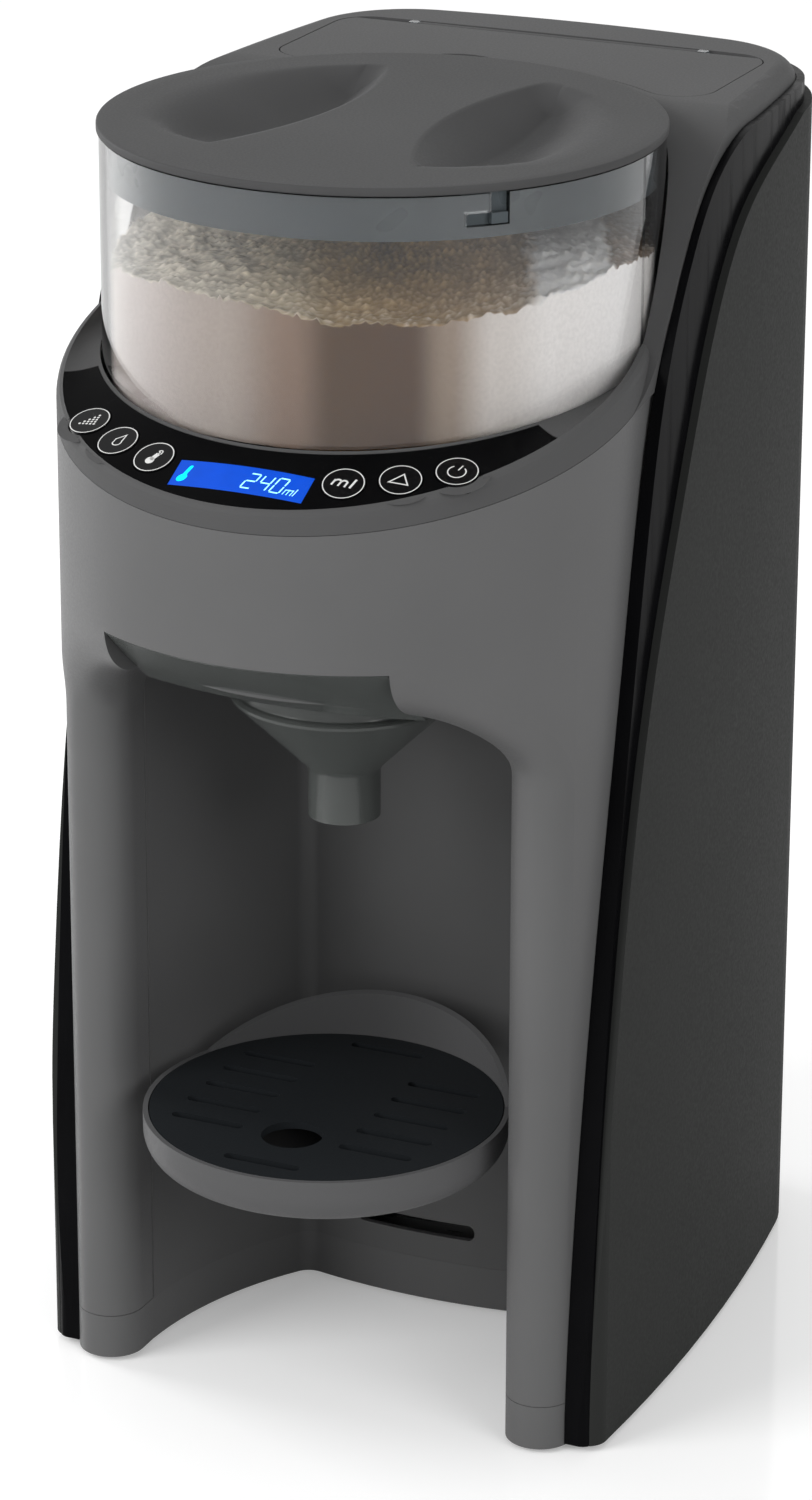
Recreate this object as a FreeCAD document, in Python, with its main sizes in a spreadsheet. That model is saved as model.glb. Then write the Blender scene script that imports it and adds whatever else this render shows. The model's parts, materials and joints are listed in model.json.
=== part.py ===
import FreeCAD, Part
import math
import os
import Sketcher

# Countertop formula maker, millimetres. +Z is up, the user stands at -Y.
# The origin is on the table, under the middle of the machine's outline.

doc = FreeCAD.newDocument("FormulaMaker")

# ---------------------------------------------------------------- driving sizes
sizes = {
    # outline of the machine in plan
    "halfWidth": 91, "rearCentreY": 86.4, "sideBow": 810, "rearBow": 400, "rearCornerRound": 40,
    "legFrontY": -72, "legCornerRound": 6, "legFrontSet": 0.8,
    # front nose of the shell and the legs
    "noseInset": 7, "fasciaY": -45, "shellWall": 2.5, "shellRearY": -30, "greyInset": 5, "greyJoinY": -22,
    "fitGap": 0.3, "seatGap": 0.2,
    # heights; those of the upper works hang from the deck
    "footHeight": 1.5, "baseTop": 15, "deckTop": 375, "seamDrop": 88.5, "seamSlope": 0.24, "rimDrop": 82,
    "rimSlope": 0.29, "collarDrop": 70.6, "collarSlope": 0.15, "deckWall": 2.5, "deckEdgeRound": 6,
    # bottle bay
    "legWidth": 31, "archDrop": 143, "archRound": 25, "noseRound": 10, "archNoseRound": 18,
    "bayCornerSet": 22.5, "bayCornerY": 1.2, "bayWallY": -61.8, "bayCornerRound": 6,
    "baySideBow": 115, "bayBackBow": 190,
    "linerWall": 2.4, "linerSet": 0.4, "ceilingWall": 3, "lintelDepth": 18, "lintelHeight": 13,
    # casing and trim
    "casingWall": 3, "trimInset": 2.4,
    # powder container
    "containerY": -27, "containerInset": 4.7, "containerWall": 2.2, "neckInset": 7.3, "shoulderDrop": 72,
    "shoulderHeight": 9, "dosingDrop": 113, "dosingHeight": 13.8, "boreGap": 0.6, "collarWall": 1.3,
    "collarReach": 10, "wheelInset": 15.5, "wheelHeight": 7, "outletInset": 15.5, "outletRadius": 8,
    "wheelPockets": 6, "seatFloorWall": 3, "seatCupGap": 1,
    # formula powder, level at the wall and a low mound inside
    "powderBottom": 283, "powderDrop": 33, "powderMound": 4.5,
    # lid
    "lidProud": 2.8, "lidOverhang": 0.7, "lidDisc": 2.3, "skirtHeight": 12.9, "skirtWall": 2.2,
    "gripHalf": 27, "recessInset": 15, "recessDepth": 10, "plugInset": 9.3,
    # drive
    "gearModule": 1.2, "gearTeeth": 50, "pinionTeeth": 20, "gearDrop": 10, "gearWidth": 5, "shaftRadius": 4,
    "hexAcross": 6.8, "motorRadius": 12, "motorHeight": 38,
    # funnel
    "funnelY": -53, "flangeRise": 15.7, "flangeDrop": 20, "flangeHalf": 43, "flangeBack": 22,
    "flangeBow": 30,
    "flangeNotch": 21, "funnelWall": 2, "funnelRim": 31, "plateDrop": 3.5, "coneHeight": 35.5,
    "nozzleRadius": 10.5, "nozzleLength": 14, "funnelPlateHalf": 34, "funnelRearY": -18,
    # drip tray
    "trayY": -65.8, "trayInset": 6.5, "trayRim": 1.5, "trayTop": 92, "trayHeight": 14.5, "trayFloor": 2,
    "trayRound": 9, "fenceSlope": 0.45, "fenceStartY": -45, "grilleThick": 2.2, "slotWidth": 3.4,
    "slotPitch": 12, "lowerSlotZ": 26, "upperSlotZ": 84, "traySlotHalf": 18, "traySlotHeight": 5,
    # water tank
    "tankSet": 10.7, "tankInset": 25, "tankBottom": 96, "tankWall": 2, "tankGap": 0.8,
    "tankRound": 8, "tankLidThick": 4.5, "tankLidLedge": 3, "notchX": -13, "notchRadius": 15,
    # controls
    "browSide": 2.6, "browFront": 1.1, "browRise": 0.6, "browDrop": 2.6, "buttonSet": 12.2,
    "buttonRadius": 6,
    "buttonStep": 9.6, "buttonFirst": 18.1, "buttonHeight": 3.2, "buttonTravel": 0.8, "panelThick": 1.8,
    "panelMargin": 1.2, "panelHalfAngle": 56, "displayLength": 40, "displayDepth": 9,
    # shoulder of the cover
    "rimSkirt": 60, "rimWall": 4.6, "coverDepth": 92, "shoulderFootY": -52, "shoulderFootDrop": 70,
    "shoulderHollow": 31.6, "riseFootY": -30.5, "riseFootDrop": 56, "riseTopY": -12.4, "riseTopDrop": 28,
    "deckFrontY": 40, "shoulderCrown": 61.5, "lipGap": 3, "lipThick": 3, "tankSideY": 96,
    "buttonFlange": 0.8, "displayFrame": 0.6,
    # casing, gland and board
    "casingFoot": 2, "glandRadius": 6, "glandX": 42, "glandZ": 30, "glandProud": 2.9, "displaySink": 0.2,
    "boardDrop": 10, "boardTrim": 3, "boardThick": 1.6, "buttonProud": 0.3, "buttonRim": 0.8,
    "domeHeight": 1.5, "domeRadius": 3, "stemRadius": 2,
    # lid lugs, dosing works
    "lugHalf": 2.4, "lugDrop": 11.3, "lugHeight": 3, "lidTravel": 7, "scoopBow": 90, "sealHeight": 3,
    "hexDeep": 4, "coverHalfAngle": 26, "coverThick": 1.6, "hubRadius": 12, "hubHeight": 26,
    "stirrerInset": 6, "armHeight": 4, "armWidth": 4, "wiperWidth": 4, "wiperHeight": 18, "seatCupWall": 2.3,
    # gears, motor and plate
    "gearPlay": 0.25, "gearWindow": 7.5, "gearWindowRing": 17, "pinionShaft": 2.5, "pinionReach": 8,
    "gearboxHeight": 14, "drivePlate": 2, "drivePlateHalf": 22, "drivePlateFront": 20, "railWall": 2.4,
    "railLip": 2, "trayLedge": 2, "fingerRadius": 9, "fingerSet": 23, "slotNear": 17, "slotInset": 16,
    # tank brim, lid hinge, cradle and valve
    "brimThick": 1.4, "barrelRadius": 1.35, "barrelInset": 21, "lugWidth": 3, "hingeSet": 2.2,
    "pinRadius": 0.6, "tankRearBow": 1500, "tankNozzle": 7, "nozzleTank": 8, "tankOutletX": 22,
    "tankOutletY": 80,
    "sealWidth": 1.6, "cradleGrow": 2, "cradleThick": 4, "cradleLegInset": 8, "pinHeight": 3,
    "valvePin": 1.6,
    "valveThick": 2, "notchY": 50, "wellFrame": 2.4, "frameDeep": 11,
    # water works and electrics
    "hoseBore": 2.5, "hoseWall": 1.5, "hoseBend": 8, "barbReach": 6, "chassisY": 12, "chassisThick": 2,
    "chassisInset": 33, "chassisDrop": 58, "supplyX": 14, "supplyWide": 42, "supplyDeep": 24, "boardX": -12,
    "boardWide": 66, "boardPost": 3, "boardBottom": 92, "boardHigh": 78, "pumpX": -2, "pumpLong": 54,
    "pumpRadius": 14, "pumpY": 35, "heaterY": 33, "heaterRadius": 14, "heaterHeight": 72,
    # base, feet and chute
    "baseWall": 3, "footRadius": 7, "footSet": 22, "chuteWall": 1.2,
    "spoutX": 25, "spoutY": -56, "spoutRadius": 4,
    # how far the cutting tools reach past what they cut
    "past": 10, "wholeReach": 400,
}


sheet = doc.addObject("Spreadsheet::Sheet", "Sizes")
for row, (alias, number) in enumerate(sizes.items(), start=1):
    sheet.set("A%d" % row, alias)
    sheet.set("B%d" % row, str(number))
    sheet.setAlias("B%d" % row, alias)
doc.recompute()


# ---------------------------------------------------------------- numbers tied to the sheet
class Size:
    """A number together with the sheet expression that gives it."""

    def __init__(self, number, text):
        self.number = float(number)
        self.text = text

    def __add__(self, other):
        return Size(self.number + num(other), "(%s + %s)" % (self.text, words(other)))

    def __radd__(self, other):
        return Size(num(other) + self.number, "(%s + %s)" % (words(other), self.text))

    def __sub__(self, other):
        return Size(self.number - num(other), "(%s - %s)" % (self.text, words(other)))

    def __rsub__(self, other):
        return Size(num(other) - self.number, "(%s - %s)" % (words(other), self.text))

    def __mul__(self, other):
        return Size(self.number * num(other), "(%s * %s)" % (self.text, words(other)))

    __rmul__ = __mul__

    def __truediv__(self, other):
        return Size(self.number / num(other), "(%s / %s)" % (self.text, words(other)))

    def __neg__(self):
        return Size(-self.number, "(0 - %s)" % self.text)


def num(thing):
    return thing.number if isinstance(thing, Size) else float(thing)


def words(thing):
    return thing.text if isinstance(thing, Size) else "(%.6f)" % thing


def root(size):
    return Size(math.sqrt(size.number), "sqrt(%s)" % size.text)


class Names:
    """Every cell of the sheet as an attribute."""


s = Names()
for alias in sizes:
    setattr(s, alias, Size(sheet.get(alias), "Sizes." + alias))

# widths that follow the machine's own
s.fasciaRadius = s.halfWidth - s.noseInset
s.bayHalf = s.halfWidth - s.legWidth
s.bayCornerX = s.bayHalf - s.bayCornerSet
s.trayRadius = s.bayHalf - s.trayInset
s.slotFar = s.trayRadius - s.slotInset
s.containerRadius = s.fasciaRadius - s.containerInset
s.containerNeckRadius = s.containerRadius - s.neckInset
s.wheelRadius = s.containerNeckRadius - s.wheelInset
s.outletRing = s.wheelRadius - s.outletInset
s.stirrerReach = s.containerNeckRadius - s.stirrerInset
s.lidRadius = s.containerRadius + s.lidOverhang
s.recessRadius = s.lidRadius - s.recessInset
s.lidPlugRadius = s.containerRadius - s.plugInset
s.buttonRing = s.containerRadius + s.buttonSet
s.tankFrontRing = s.containerRadius + s.tankSet
s.tankHalf = s.halfWidth - s.tankInset
s.barrelHalf = s.tankHalf - s.barrelInset
s.cradleLegX = s.tankHalf - s.cradleLegInset
s.chassisHalf = s.halfWidth - s.chassisInset
s.heaterX = s.chassisHalf - s.heaterRadius
s.hingeY = s.tankSideY + s.hingeSet

# heights that follow the deck
s.seamFront = s.deckTop - s.seamDrop
s.rimFront = s.deckTop - s.rimDrop
s.collarFront = s.deckTop - s.collarDrop
s.archTop = s.deckTop - s.archDrop
s.containerShoulderTop = s.deckTop - s.shoulderDrop
s.containerShoulderBottom = s.containerShoulderTop - s.shoulderHeight
s.collarBottom = s.containerShoulderTop - s.collarReach
s.dosingTop = s.deckTop - s.dosingDrop
s.dosingBottom = s.dosingTop - s.dosingHeight
s.seatFloorTop = s.dosingBottom - s.seatGap
s.gearBottom = s.seatFloorTop - s.gearDrop
s.powderTop = s.deckTop - s.powderDrop
s.lidTop = s.deckTop + s.lidProud
s.lugBottom = s.lidTop - s.lugDrop
s.flangeTop = s.archTop + s.flangeRise
s.funnelPlateTop = s.archTop - s.plateDrop
s.coneBottom = s.funnelPlateTop - s.coneHeight
s.nozzleBottom = s.coneBottom - s.nozzleLength
s.chassisTop = s.archTop - s.chassisDrop


# ---------------------------------------------------------------- document helpers
def bind(thing, prop, size):
    if isinstance(size, Size):
        thing.setExpression(prop, size.text)


def place(thing, x=0, y=0, z=0, turn=None):
    spot = FreeCAD.Vector(num(x), num(y), num(z))
    thing.Placement = FreeCAD.Placement(spot, turn or FreeCAD.Rotation())
    for letter, size in zip("xyz", (x, y, z)):
        bind(thing, "Placement.Base." + letter, size)
    return thing


def add(kind, label, **props):
    thing = doc.addObject(kind, "Step_" + label)
    thing.Label = label
    for prop, size in props.items():
        setattr(thing, prop, num(size))
        bind(thing, prop, size)
    return thing


def cylinder(label, radius, height, x=0, y=0, z=0, turn=None):
    return place(add("Part::Cylinder", label, Radius=radius, Height=height), x, y, z, turn)


def cone(label, lower, upper, height, x=0, y=0, z=0, turn=None):
    return place(add("Part::Cone", label, Radius1=lower, Radius2=upper, Height=height), x, y, z, turn)


def box(label, x, y, z):
    """A block between two numbers along each axis."""
    block = add("Part::Box", label, Length=x[1] - x[0], Width=y[1] - y[0], Height=z[1] - z[0])
    return place(block, x[0], y[0], z[0])


def fuse(label, pieces):
    thing = doc.addObject("Part::MultiFuse", "Step_" + label)
    thing.Label = label
    thing.Shapes = pieces
    return thing


def common(label, pieces):
    thing = doc.addObject("Part::MultiCommon", "Step_" + label)
    thing.Label = label
    thing.Shapes = pieces
    return thing


def cut(label, base, tools):
    thing = doc.addObject("Part::Cut", "Step_" + label)
    thing.Label = label
    thing.Base = base
    thing.Tool = tools[0] if len(tools) == 1 else fuse(label + "_tools", tools)
    return thing


def lowered(label, thing, drop):
    """The same solid again, shifted straight down."""
    copy = doc.addObject("Part::Compound", "Step_" + label)
    copy.Label = label
    copy.Links = [thing]
    return place(copy, 0, 0, -drop)


def tube(label, outer, inner, bottom, top, x=0, y=0):
    return cut(label, cylinder(label + "_outside", outer, top - bottom, x, y, bottom),
               [cylinder(label + "_inside", inner, top - bottom + 2, x, y, bottom - 1)])


def newBody(label):
    body = doc.addObject("PartDesign::Body", "Body_" + label)
    body.Label = label
    return body


def sketchOn(body, role, offset=0):
    sketch = body.newObject("Sketcher::SketchObject", "Sketch_" + body.Label)
    plane = [feature for feature in body.Origin.OriginFeatures if feature.Role == role][0]
    sketch.AttachmentSupport = [(plane, "")]
    sketch.MapMode = "FlatFace"
    sketch.AttachmentOffset = FreeCAD.Placement(FreeCAD.Vector(0, 0, num(offset)), FreeCAD.Rotation())
    bind(sketch, "AttachmentOffset.Base.z", offset)
    return sketch


def hold(sketch, edge, end, axis, size):
    """Keep one end of an edge at a distance from the sketch's origin along an axis."""
    number = num(size)
    if abs(number) < 1e-9:
        sketch.addConstraint(Sketcher.Constraint("PointOnObject", edge, end, -2 if axis == "X" else -1))
        return
    order = (-1, 1, edge, end) if number > 0 else (edge, end, -1, 1)
    index = sketch.addConstraint(Sketcher.Constraint("Distance" + axis, *order, abs(number)))
    bind(sketch, "Constraints[%d]" % index, size if number > 0 else -size)


def loop(sketch, corners):
    """A closed outline. Each corner is (x, y, bow): the edge that leaves it is straight where the
    bow is 0, and otherwise an arc of that radius, which bulges right of its direction when positive."""
    edges = []
    for here, there in zip(corners, corners[1:] + corners[:1]):
        start = FreeCAD.Vector(num(here[0]), num(here[1]), 0)
        end = FreeCAD.Vector(num(there[0]), num(there[1]), 0)
        bow = num(here[2])
        if bow == 0:
            edges.append((sketch.addGeometry(Part.LineSegment(start, end)), 1, 2))
            continue
        along = end - start
        half = along.Length / 2
        side = FreeCAD.Vector(-along.y, along.x, 0).normalize() * math.copysign(1, bow)
        centre = (start + end) * 0.5 + side * math.sqrt(max(bow * bow - half * half, 0))
        circle = Part.Circle(centre, FreeCAD.Vector(0, 0, 1), abs(bow))
        first, last = (start, end) if bow > 0 else (end, start)
        low = math.atan2(first.y - centre.y, first.x - centre.x)
        high = math.atan2(last.y - centre.y, last.x - centre.x)
        index = sketch.addGeometry(Part.ArcOfCircle(circle, low, high))
        edges.append((index, 1, 2) if bow > 0 else (index, 2, 1))
    for (edge, start, _), (before, _, end) in zip(edges, edges[-1:] + edges[:-1]):
        sketch.addConstraint(Sketcher.Constraint("Coincident", before, end, edge, start))
    for (edge, start, _), corner in zip(edges, corners):
        hold(sketch, edge, start, "X", corner[0])
        hold(sketch, edge, start, "Y", corner[1])
        if num(corner[2]) != 0:
            index = sketch.addConstraint(Sketcher.Constraint("Radius", edge, abs(num(corner[2]))))
            bind(sketch, "Constraints[%d]" % index, corner[2] if num(corner[2]) > 0 else -corner[2])


def feature(body, kind, sketch, length, both=False, back=False):
    step = body.newObject("PartDesign::" + kind, kind + "_" + body.Label)
    step.Profile = sketch
    step.Length = num(length)
    bind(step, "Length", length)
    step.Midplane = both
    step.Reversed = back
    sketch.Visibility = False
    body.Tip = step
    return step


def pad(body, role, corners, bottom, top):
    """Push an outline on a level plane up between two heights."""
    sketch = sketchOn(body, role, bottom)
    loop(sketch, corners)
    return feature(body, "Pad", sketch, top - bottom)


def dig(body, outlines, bottom, top):
    """Remove the outlines between two heights, and be sure that something went."""
    sketch = sketchOn(body, "XY_Plane", bottom)
    for corners in outlines:
        loop(sketch, corners)
    before = volumeOf(body)
    feature(body, "Pocket", sketch, top - bottom, back=True)
    if volumeOf(body) > before - 0.01:
        raise ValueError("nothing cut from " + body.Label)


def through(body, role, outlines, length):
    """Remove the outlines of an upright plane to both sides of it."""
    sketch = sketchOn(body, role)
    for corners in outlines:
        loop(sketch, corners)
    before = volumeOf(body)
    feature(body, "Pocket", sketch, length, both=True)
    if volumeOf(body) > before - 0.01:
        raise ValueError("nothing cut from " + body.Label)


def volumeOf(body):
    doc.recompute()
    return body.Shape.Volume


def roundEdges(body, radius, chosen):
    """Fillet the edges of the body's last shape that the test picks."""
    doc.recompute()
    base = body.Tip
    names = ["Edge%d" % (i + 1) for i, edge in enumerate(base.Shape.Edges) if chosen(edge)]
    if not names:
        raise ValueError("no edges to round on " + body.Label)
    step = body.newObject("PartDesign::Fillet", "Fillet_" + body.Label)
    step.Base = (base, names)
    step.Radius = num(radius)
    bind(step, "Radius", radius)
    body.Tip = step
    return step


def turned(body, corners):
    """Revolve an outline, given as (radius, height, bow), about the body's upright axis."""
    sketch = sketchOn(body, "XZ_Plane")
    loop(sketch, corners)
    step = body.newObject("PartDesign::Revolution", "Revolution_" + body.Label)
    step.Profile = sketch
    step.ReferenceAxis = (sketch, ["V_Axis"])
    step.Angle = 360
    body.Tip = step
    return step


def mirrored(corners):
    """The outline again on the other side of X = 0, kept in the same sense."""
    flipped = [(-x, y, bow) for x, y, bow in corners]
    bows = [bow for _, _, bow in flipped]
    order = list(reversed(range(len(flipped))))
    return [(flipped[i][0], flipped[i][1], bows[i - 1]) for i in order]


nodes = []


def node(thing, name):
    thing.Label = name
    nodes.append(thing)
    return thing


def upright(edge, x=None, y=None):
    """Is this a vertical edge, on the given side of X or Y?"""
    if not isinstance(edge.Curve, Part.Line) or abs(edge.Curve.Direction.z) < 0.999:
        return False
    middle = edge.CenterOfMass
    return (x is None or x(middle.x)) and (y is None or y(middle.y))


# ---------------------------------------------------------------- outlines in plan
frontY = s.fasciaY - s.fasciaRadius
sideApexY = s.greyJoinY


def sideX(y, inset):
    """Half width of the machine at a depth, a wall's thickness in from its outside."""
    bow = s.sideBow - inset
    reach = y - sideApexY
    return s.halfWidth - inset - bow + root(bow * bow - reach * reach)


cornerDepth = s.rearCentreY - s.greyJoinY
cornerBow = s.sideBow - s.rearCornerRound
cornerReach = root(cornerBow * cornerBow - cornerDepth * cornerDepth)
rearCentreX = s.halfWidth - s.sideBow + cornerReach
rearReach = s.rearBow - s.rearCornerRound
rearLean = root(rearReach * rearReach - rearCentreX * rearCentreX)


def rearEnds(inset):
    """Where the round of the rear corner meets the side and the rear, each with the bow that follows."""
    onSide = (s.sideBow - inset) / cornerBow
    onRear = (s.rearBow - inset) / rearReach
    return [(s.halfWidth - s.sideBow + cornerReach * onSide, s.greyJoinY + cornerDepth * onSide,
             s.rearCornerRound - inset),
            (rearCentreX * onRear, s.rearCentreY - rearLean + rearLean * onRear, s.rearBow - inset)]


def rearY(inset):
    return rearEnds(inset)[1][1]


def rearPart(inset):
    """The corners round the rear, from the right side to the left."""
    side, rear = rearEnds(inset)
    return [side, rear, (-rear[0], rear[1], side[2]), (-side[0], side[1], s.sideBow - inset)]


def casingOutline(inset, front):
    """Sides and rear of the machine, closed by a straight front."""
    near = sideX(front, inset)
    return [(-near, front, 0), (near, front, s.sideBow - inset)] + rearPart(inset)


def greyOutline(inset):
    """The round nose of the machine joined to its sides, for the shell, the cover and the base."""
    nose = s.fasciaRadius - inset
    deep = s.greyInset + inset
    near = s.halfWidth - deep
    return [(0, s.fasciaY - nose, nose), (nose, s.fasciaY, 0), (near, s.greyJoinY, s.sideBow - deep)] + \
        rearPart(deep) + [(-near, s.greyJoinY, 0), (-nose, s.fasciaY, nose)]


def noseOutline(inset, rear):
    """The round nose closed by a straight rear."""
    nose = s.fasciaRadius - inset
    return [(0, s.fasciaY - nose, nose), (nose, s.fasciaY, 0), (nose, rear, 0), (-nose, rear, 0),
            (-nose, s.fasciaY, nose)]


def bayOutline(grow, front):
    """The bottle bay: bowed sides, soft rear corners, and a back wall that bulges forward a little."""
    half = s.bayHalf + grow
    cornerX = s.bayCornerX + grow
    cornerY = s.bayCornerY + grow
    return [(-half, front, 0), (half, front, 0), (half, s.bayWallY, s.baySideBow + grow),
            (cornerX, cornerY, -(s.bayBackBow - grow)), (-cornerX, cornerY, s.baySideBow + grow),
            (-half, s.bayWallY, 0)]


def slab(label, corners, bottom, top, rounds=()):
    """An outline pushed up between two heights, with its upright edges rounded where asked."""
    body = newBody(label)
    pad(body, "XY_Plane", corners, bottom, top)
    for radius, chosen in rounds:
        roundEdges(body, radius, chosen)
    return body


def onNose(edge):
    """Is this edge of an opening on the outer face of the round nose?"""
    ends = [edge.valueAt(edge.FirstParameter + share * (edge.LastParameter - edge.FirstParameter))
            for share in (0, 0.31, 0.5, 0.77, 1)]
    radii = [math.hypot(end.x, end.y - num(s.fasciaY)) for end in ends]
    inside = all(abs(end.x) < num(s.bayHalf) + 0.01 and end.y < num(s.fasciaY) for end in ends)
    rises = max(end.z for end in ends) - min(end.z for end in ends)
    return max(abs(radius - num(s.fasciaRadius)) for radius in radii) < 0.01 and inside and rises > -1


# ---------------------------------------------------------------- base ring and feet
def baseRing():
    body = newBody("base_ring")
    pad(body, "XY_Plane", greyOutline(0), s.footHeight, s.baseTop)
    dig(body, [bayOutline(0, frontY - s.past)], 0, s.baseTop + 1)
    roundEdges(body, s.noseRound, lambda edge: upright(edge) and onNose(edge))
    roundEdges(body, s.bayCornerRound,
               lambda edge: upright(edge, y=lambda y: abs(y - num(s.bayCornerY)) < 1))
    half = (s.halfWidth - s.greyInset - s.baseWall * 2) * 0.8
    near = s.bayCornerY + s.baseWall * 3
    far = rearY(s.greyInset) - s.baseWall * 5
    dig(body, [[(-half, near, 0), (half, near, 0), (half, far, 0), (-half, far, 0)]],
        s.footHeight + s.baseWall, s.baseTop + 1)
    return body


node(baseRing(), "base_ring")
footSpots = [(s.bayHalf + s.noseRound, s.fasciaY - s.footSet), (s.bayHalf, s.rearCentreY)]
node(fuse("feet", [cylinder("foot_%d" % count, s.footRadius, s.footHeight, side * x, y, 0)
                   for count, (x, y, side) in enumerate((x, y, side) for x, y in footSpots
                                                        for side in (-1, 1))]), "rubber_feet")


# ---------------------------------------------------------------- front shell
def archEdges(shape):
    """The opening's edges on the nose, with the radius at each end: small on the legs, large on top."""
    low = num(s.archTop - s.archRound) + 1
    edges = []
    for count, edge in enumerate(shape.Edges):
        if onNose(edge):
            heights = [edge.valueAt(end).z for end in (edge.FirstParameter, edge.LastParameter)]
            edges.append((count + 1, *[num(s.noseRound if z < low else s.archNoseRound) for z in heights]))
    return edges


def frontShell():
    body = newBody("shell_blank")
    rear = s.shellRearY
    past = rear + s.past
    pad(body, "XY_Plane", noseOutline(0, rear), s.baseTop + s.seatGap, s.deckTop)
    start = frontY - s.past
    end = rear + s.past
    through(body, "YZ_Plane", [[(start, seamHeight(start), 0), (end, seamHeight(end), 0),
                                (end, s.deckTop + s.past, 0), (start, s.deckTop + s.past, 0)]], s.wholeReach)
    low = s.archTop - s.archRound
    through(body, "XZ_Plane", [[(-s.bayHalf, 0, 0), (s.bayHalf, 0, 0), (s.bayHalf, low, s.archRound),
                                (s.bayHalf - s.archRound, s.archTop, 0),
                                (s.archRound - s.bayHalf, s.archTop, s.archRound), (-s.bayHalf, low, 0)]],
            s.wholeReach)
    doc.recompute()
    rounded = doc.addObject("Part::Fillet", "Step_shell_rounded")
    rounded.Base = body
    rounded.Edges = archEdges(body.Shape)
    lintelTop = s.archTop + s.lintelHeight
    inner = s.fasciaRadius - s.shellWall
    depth = s.bayWallY - s.fasciaY
    wide = root(inner * inner - depth * depth)
    inside = s.bayHalf - 1
    leg = [(inside, s.bayWallY, 0), (wide, s.bayWallY, inner), (inner, s.fasciaY, 0), (inner, past, 0),
           (inside, past, 0)]
    notch = s.flangeHalf + s.fitGap
    rooms = [slab("shell_room", noseOutline(s.shellWall, past), lintelTop, s.deckTop),
             slab("lintel_room", noseOutline(s.lintelDepth, past), s.archTop - 1, lintelTop + 1),
             slab("leg_right", leg, 0, lintelTop), slab("leg_left", mirrored(leg), 0, lintelTop),
             box("behind_arch", (-s.bayHalf, s.bayHalf), (s.bayWallY, past), (low - 1, s.archTop)),
             box("flange_notch", (-notch, notch), (frontY - s.past, past),
                 (s.archTop - s.past, s.flangeTop + s.fitGap))]
    return cut("front_shell", rounded, rooms)


def seamHeight(y):
    """Height of the slanted seam between the shell and the cover."""
    return s.seamFront + s.seamSlope * (y - frontY)


node(frontShell(), "front_shell")


# ---------------------------------------------------------------- bay liner
def bayLiner():
    body = newBody("bay_liner")
    front = s.bayWallY + s.seatGap
    outer = [(x, y, bow) for x, y, bow in bayOutline(s.linerWall - s.linerSet, front)]
    del outer[0], outer[0]
    outer[0] = (outer[0][0], front, outer[0][2])
    outer[-1] = (outer[-1][0], front, 0)
    pad(body, "XY_Plane", outer, s.baseTop + s.seatGap, s.archTop + s.ceilingWall)
    roundEdges(body, s.bayCornerRound + s.linerWall,
               lambda edge: upright(edge, y=lambda y: y > num(s.bayCornerY) - 1))
    inner = bayOutline(-s.linerSet, frontY)
    sketch = sketchOn(body, "XY_Plane", 0)
    loop(sketch, inner)
    feature(body, "Pocket", sketch, s.archTop, back=True)
    roundEdges(body, s.bayCornerRound, lambda edge: upright(edge, y=lambda y: abs(y - num(s.bayCornerY)) < 1)
               and edge.CenterOfMass.z < num(s.archTop) - 1)
    nose = s.fasciaRadius - s.lintelDepth - s.fitGap
    depth = front - s.fasciaY
    wide = root(nose * nose - depth * depth)
    pad(body, "XY_Plane", [(0, s.fasciaY - nose, nose), (wide, front, 0), (wide, front + 1, 0),
                           (-wide, front + 1, 0), (-wide, front, nose)],
        s.archTop, s.archTop + s.ceilingWall)
    notch = s.flangeHalf + s.fitGap
    rim = s.fasciaRadius - s.flangeNotch
    rimY = s.fasciaY - root(rim * rim - notch * notch)
    dig(body, [[(-notch, frontY, 0), (notch, frontY, 0), (notch, rimY, -rim), (-notch, rimY, 0)]],
        s.archTop - 1, s.archTop + s.ceilingWall + 1)
    half = s.traySlotHalf
    tall = s.traySlotHeight
    for bottom in (s.lowerSlotZ - tall / 2, s.upperSlotZ - tall / 2):
        sketch = sketchOn(body, "XZ_Plane")
        loop(sketch, [(-half, bottom, 0), (half, bottom, tall * 0.55), (half, bottom + tall, 0),
                      (-half, bottom + tall, tall * 0.55)])
        feature(body, "Pocket", sketch, s.wholeReach, both=True)
    for label, x, y, radius in (("outlet", 0, outletY, s.outletRadius + s.chuteWall + s.fitGap),
                                ("spout", s.spoutX, s.spoutY, s.spoutRadius + s.fitGap)):
        sketch = sketchOn(body, "XY_Plane", s.archTop - 1)
        edge = sketch.addGeometry(Part.Circle(FreeCAD.Vector(num(x), num(y), 0), FreeCAD.Vector(0, 0, 1),
                                              num(radius)))
        hold(sketch, edge, 3, "X", x)
        hold(sketch, edge, 3, "Y", y)
        index = sketch.addConstraint(Sketcher.Constraint("Radius", edge, num(radius)))
        bind(sketch, "Constraints[%d]" % index, radius)
        feature(body, "Pocket", sketch, s.ceilingWall + 2, back=True)
    return body


outletY = s.containerY - s.outletRing
node(bayLiner(), "bay_liner")


# ---------------------------------------------------------------- top cover
def ringAt(label, radius, y, height, slope):
    """A level circle of the plan, lifted onto a slanted plane. Height is at the circle's front."""
    steep = root(slope * slope + 1)
    ring = add("Part::Ellipse", label, MajorRadius=radius * steep, MinorRadius=radius)
    tilt = FreeCAD.Rotation(FreeCAD.Vector(1, 0, 0), math.degrees(math.atan(num(slope))))
    spin = FreeCAD.Rotation(FreeCAD.Vector(0, 0, 1), 90)
    return place(ring, 0, y, height + slope * radius, tilt * spin)


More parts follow.
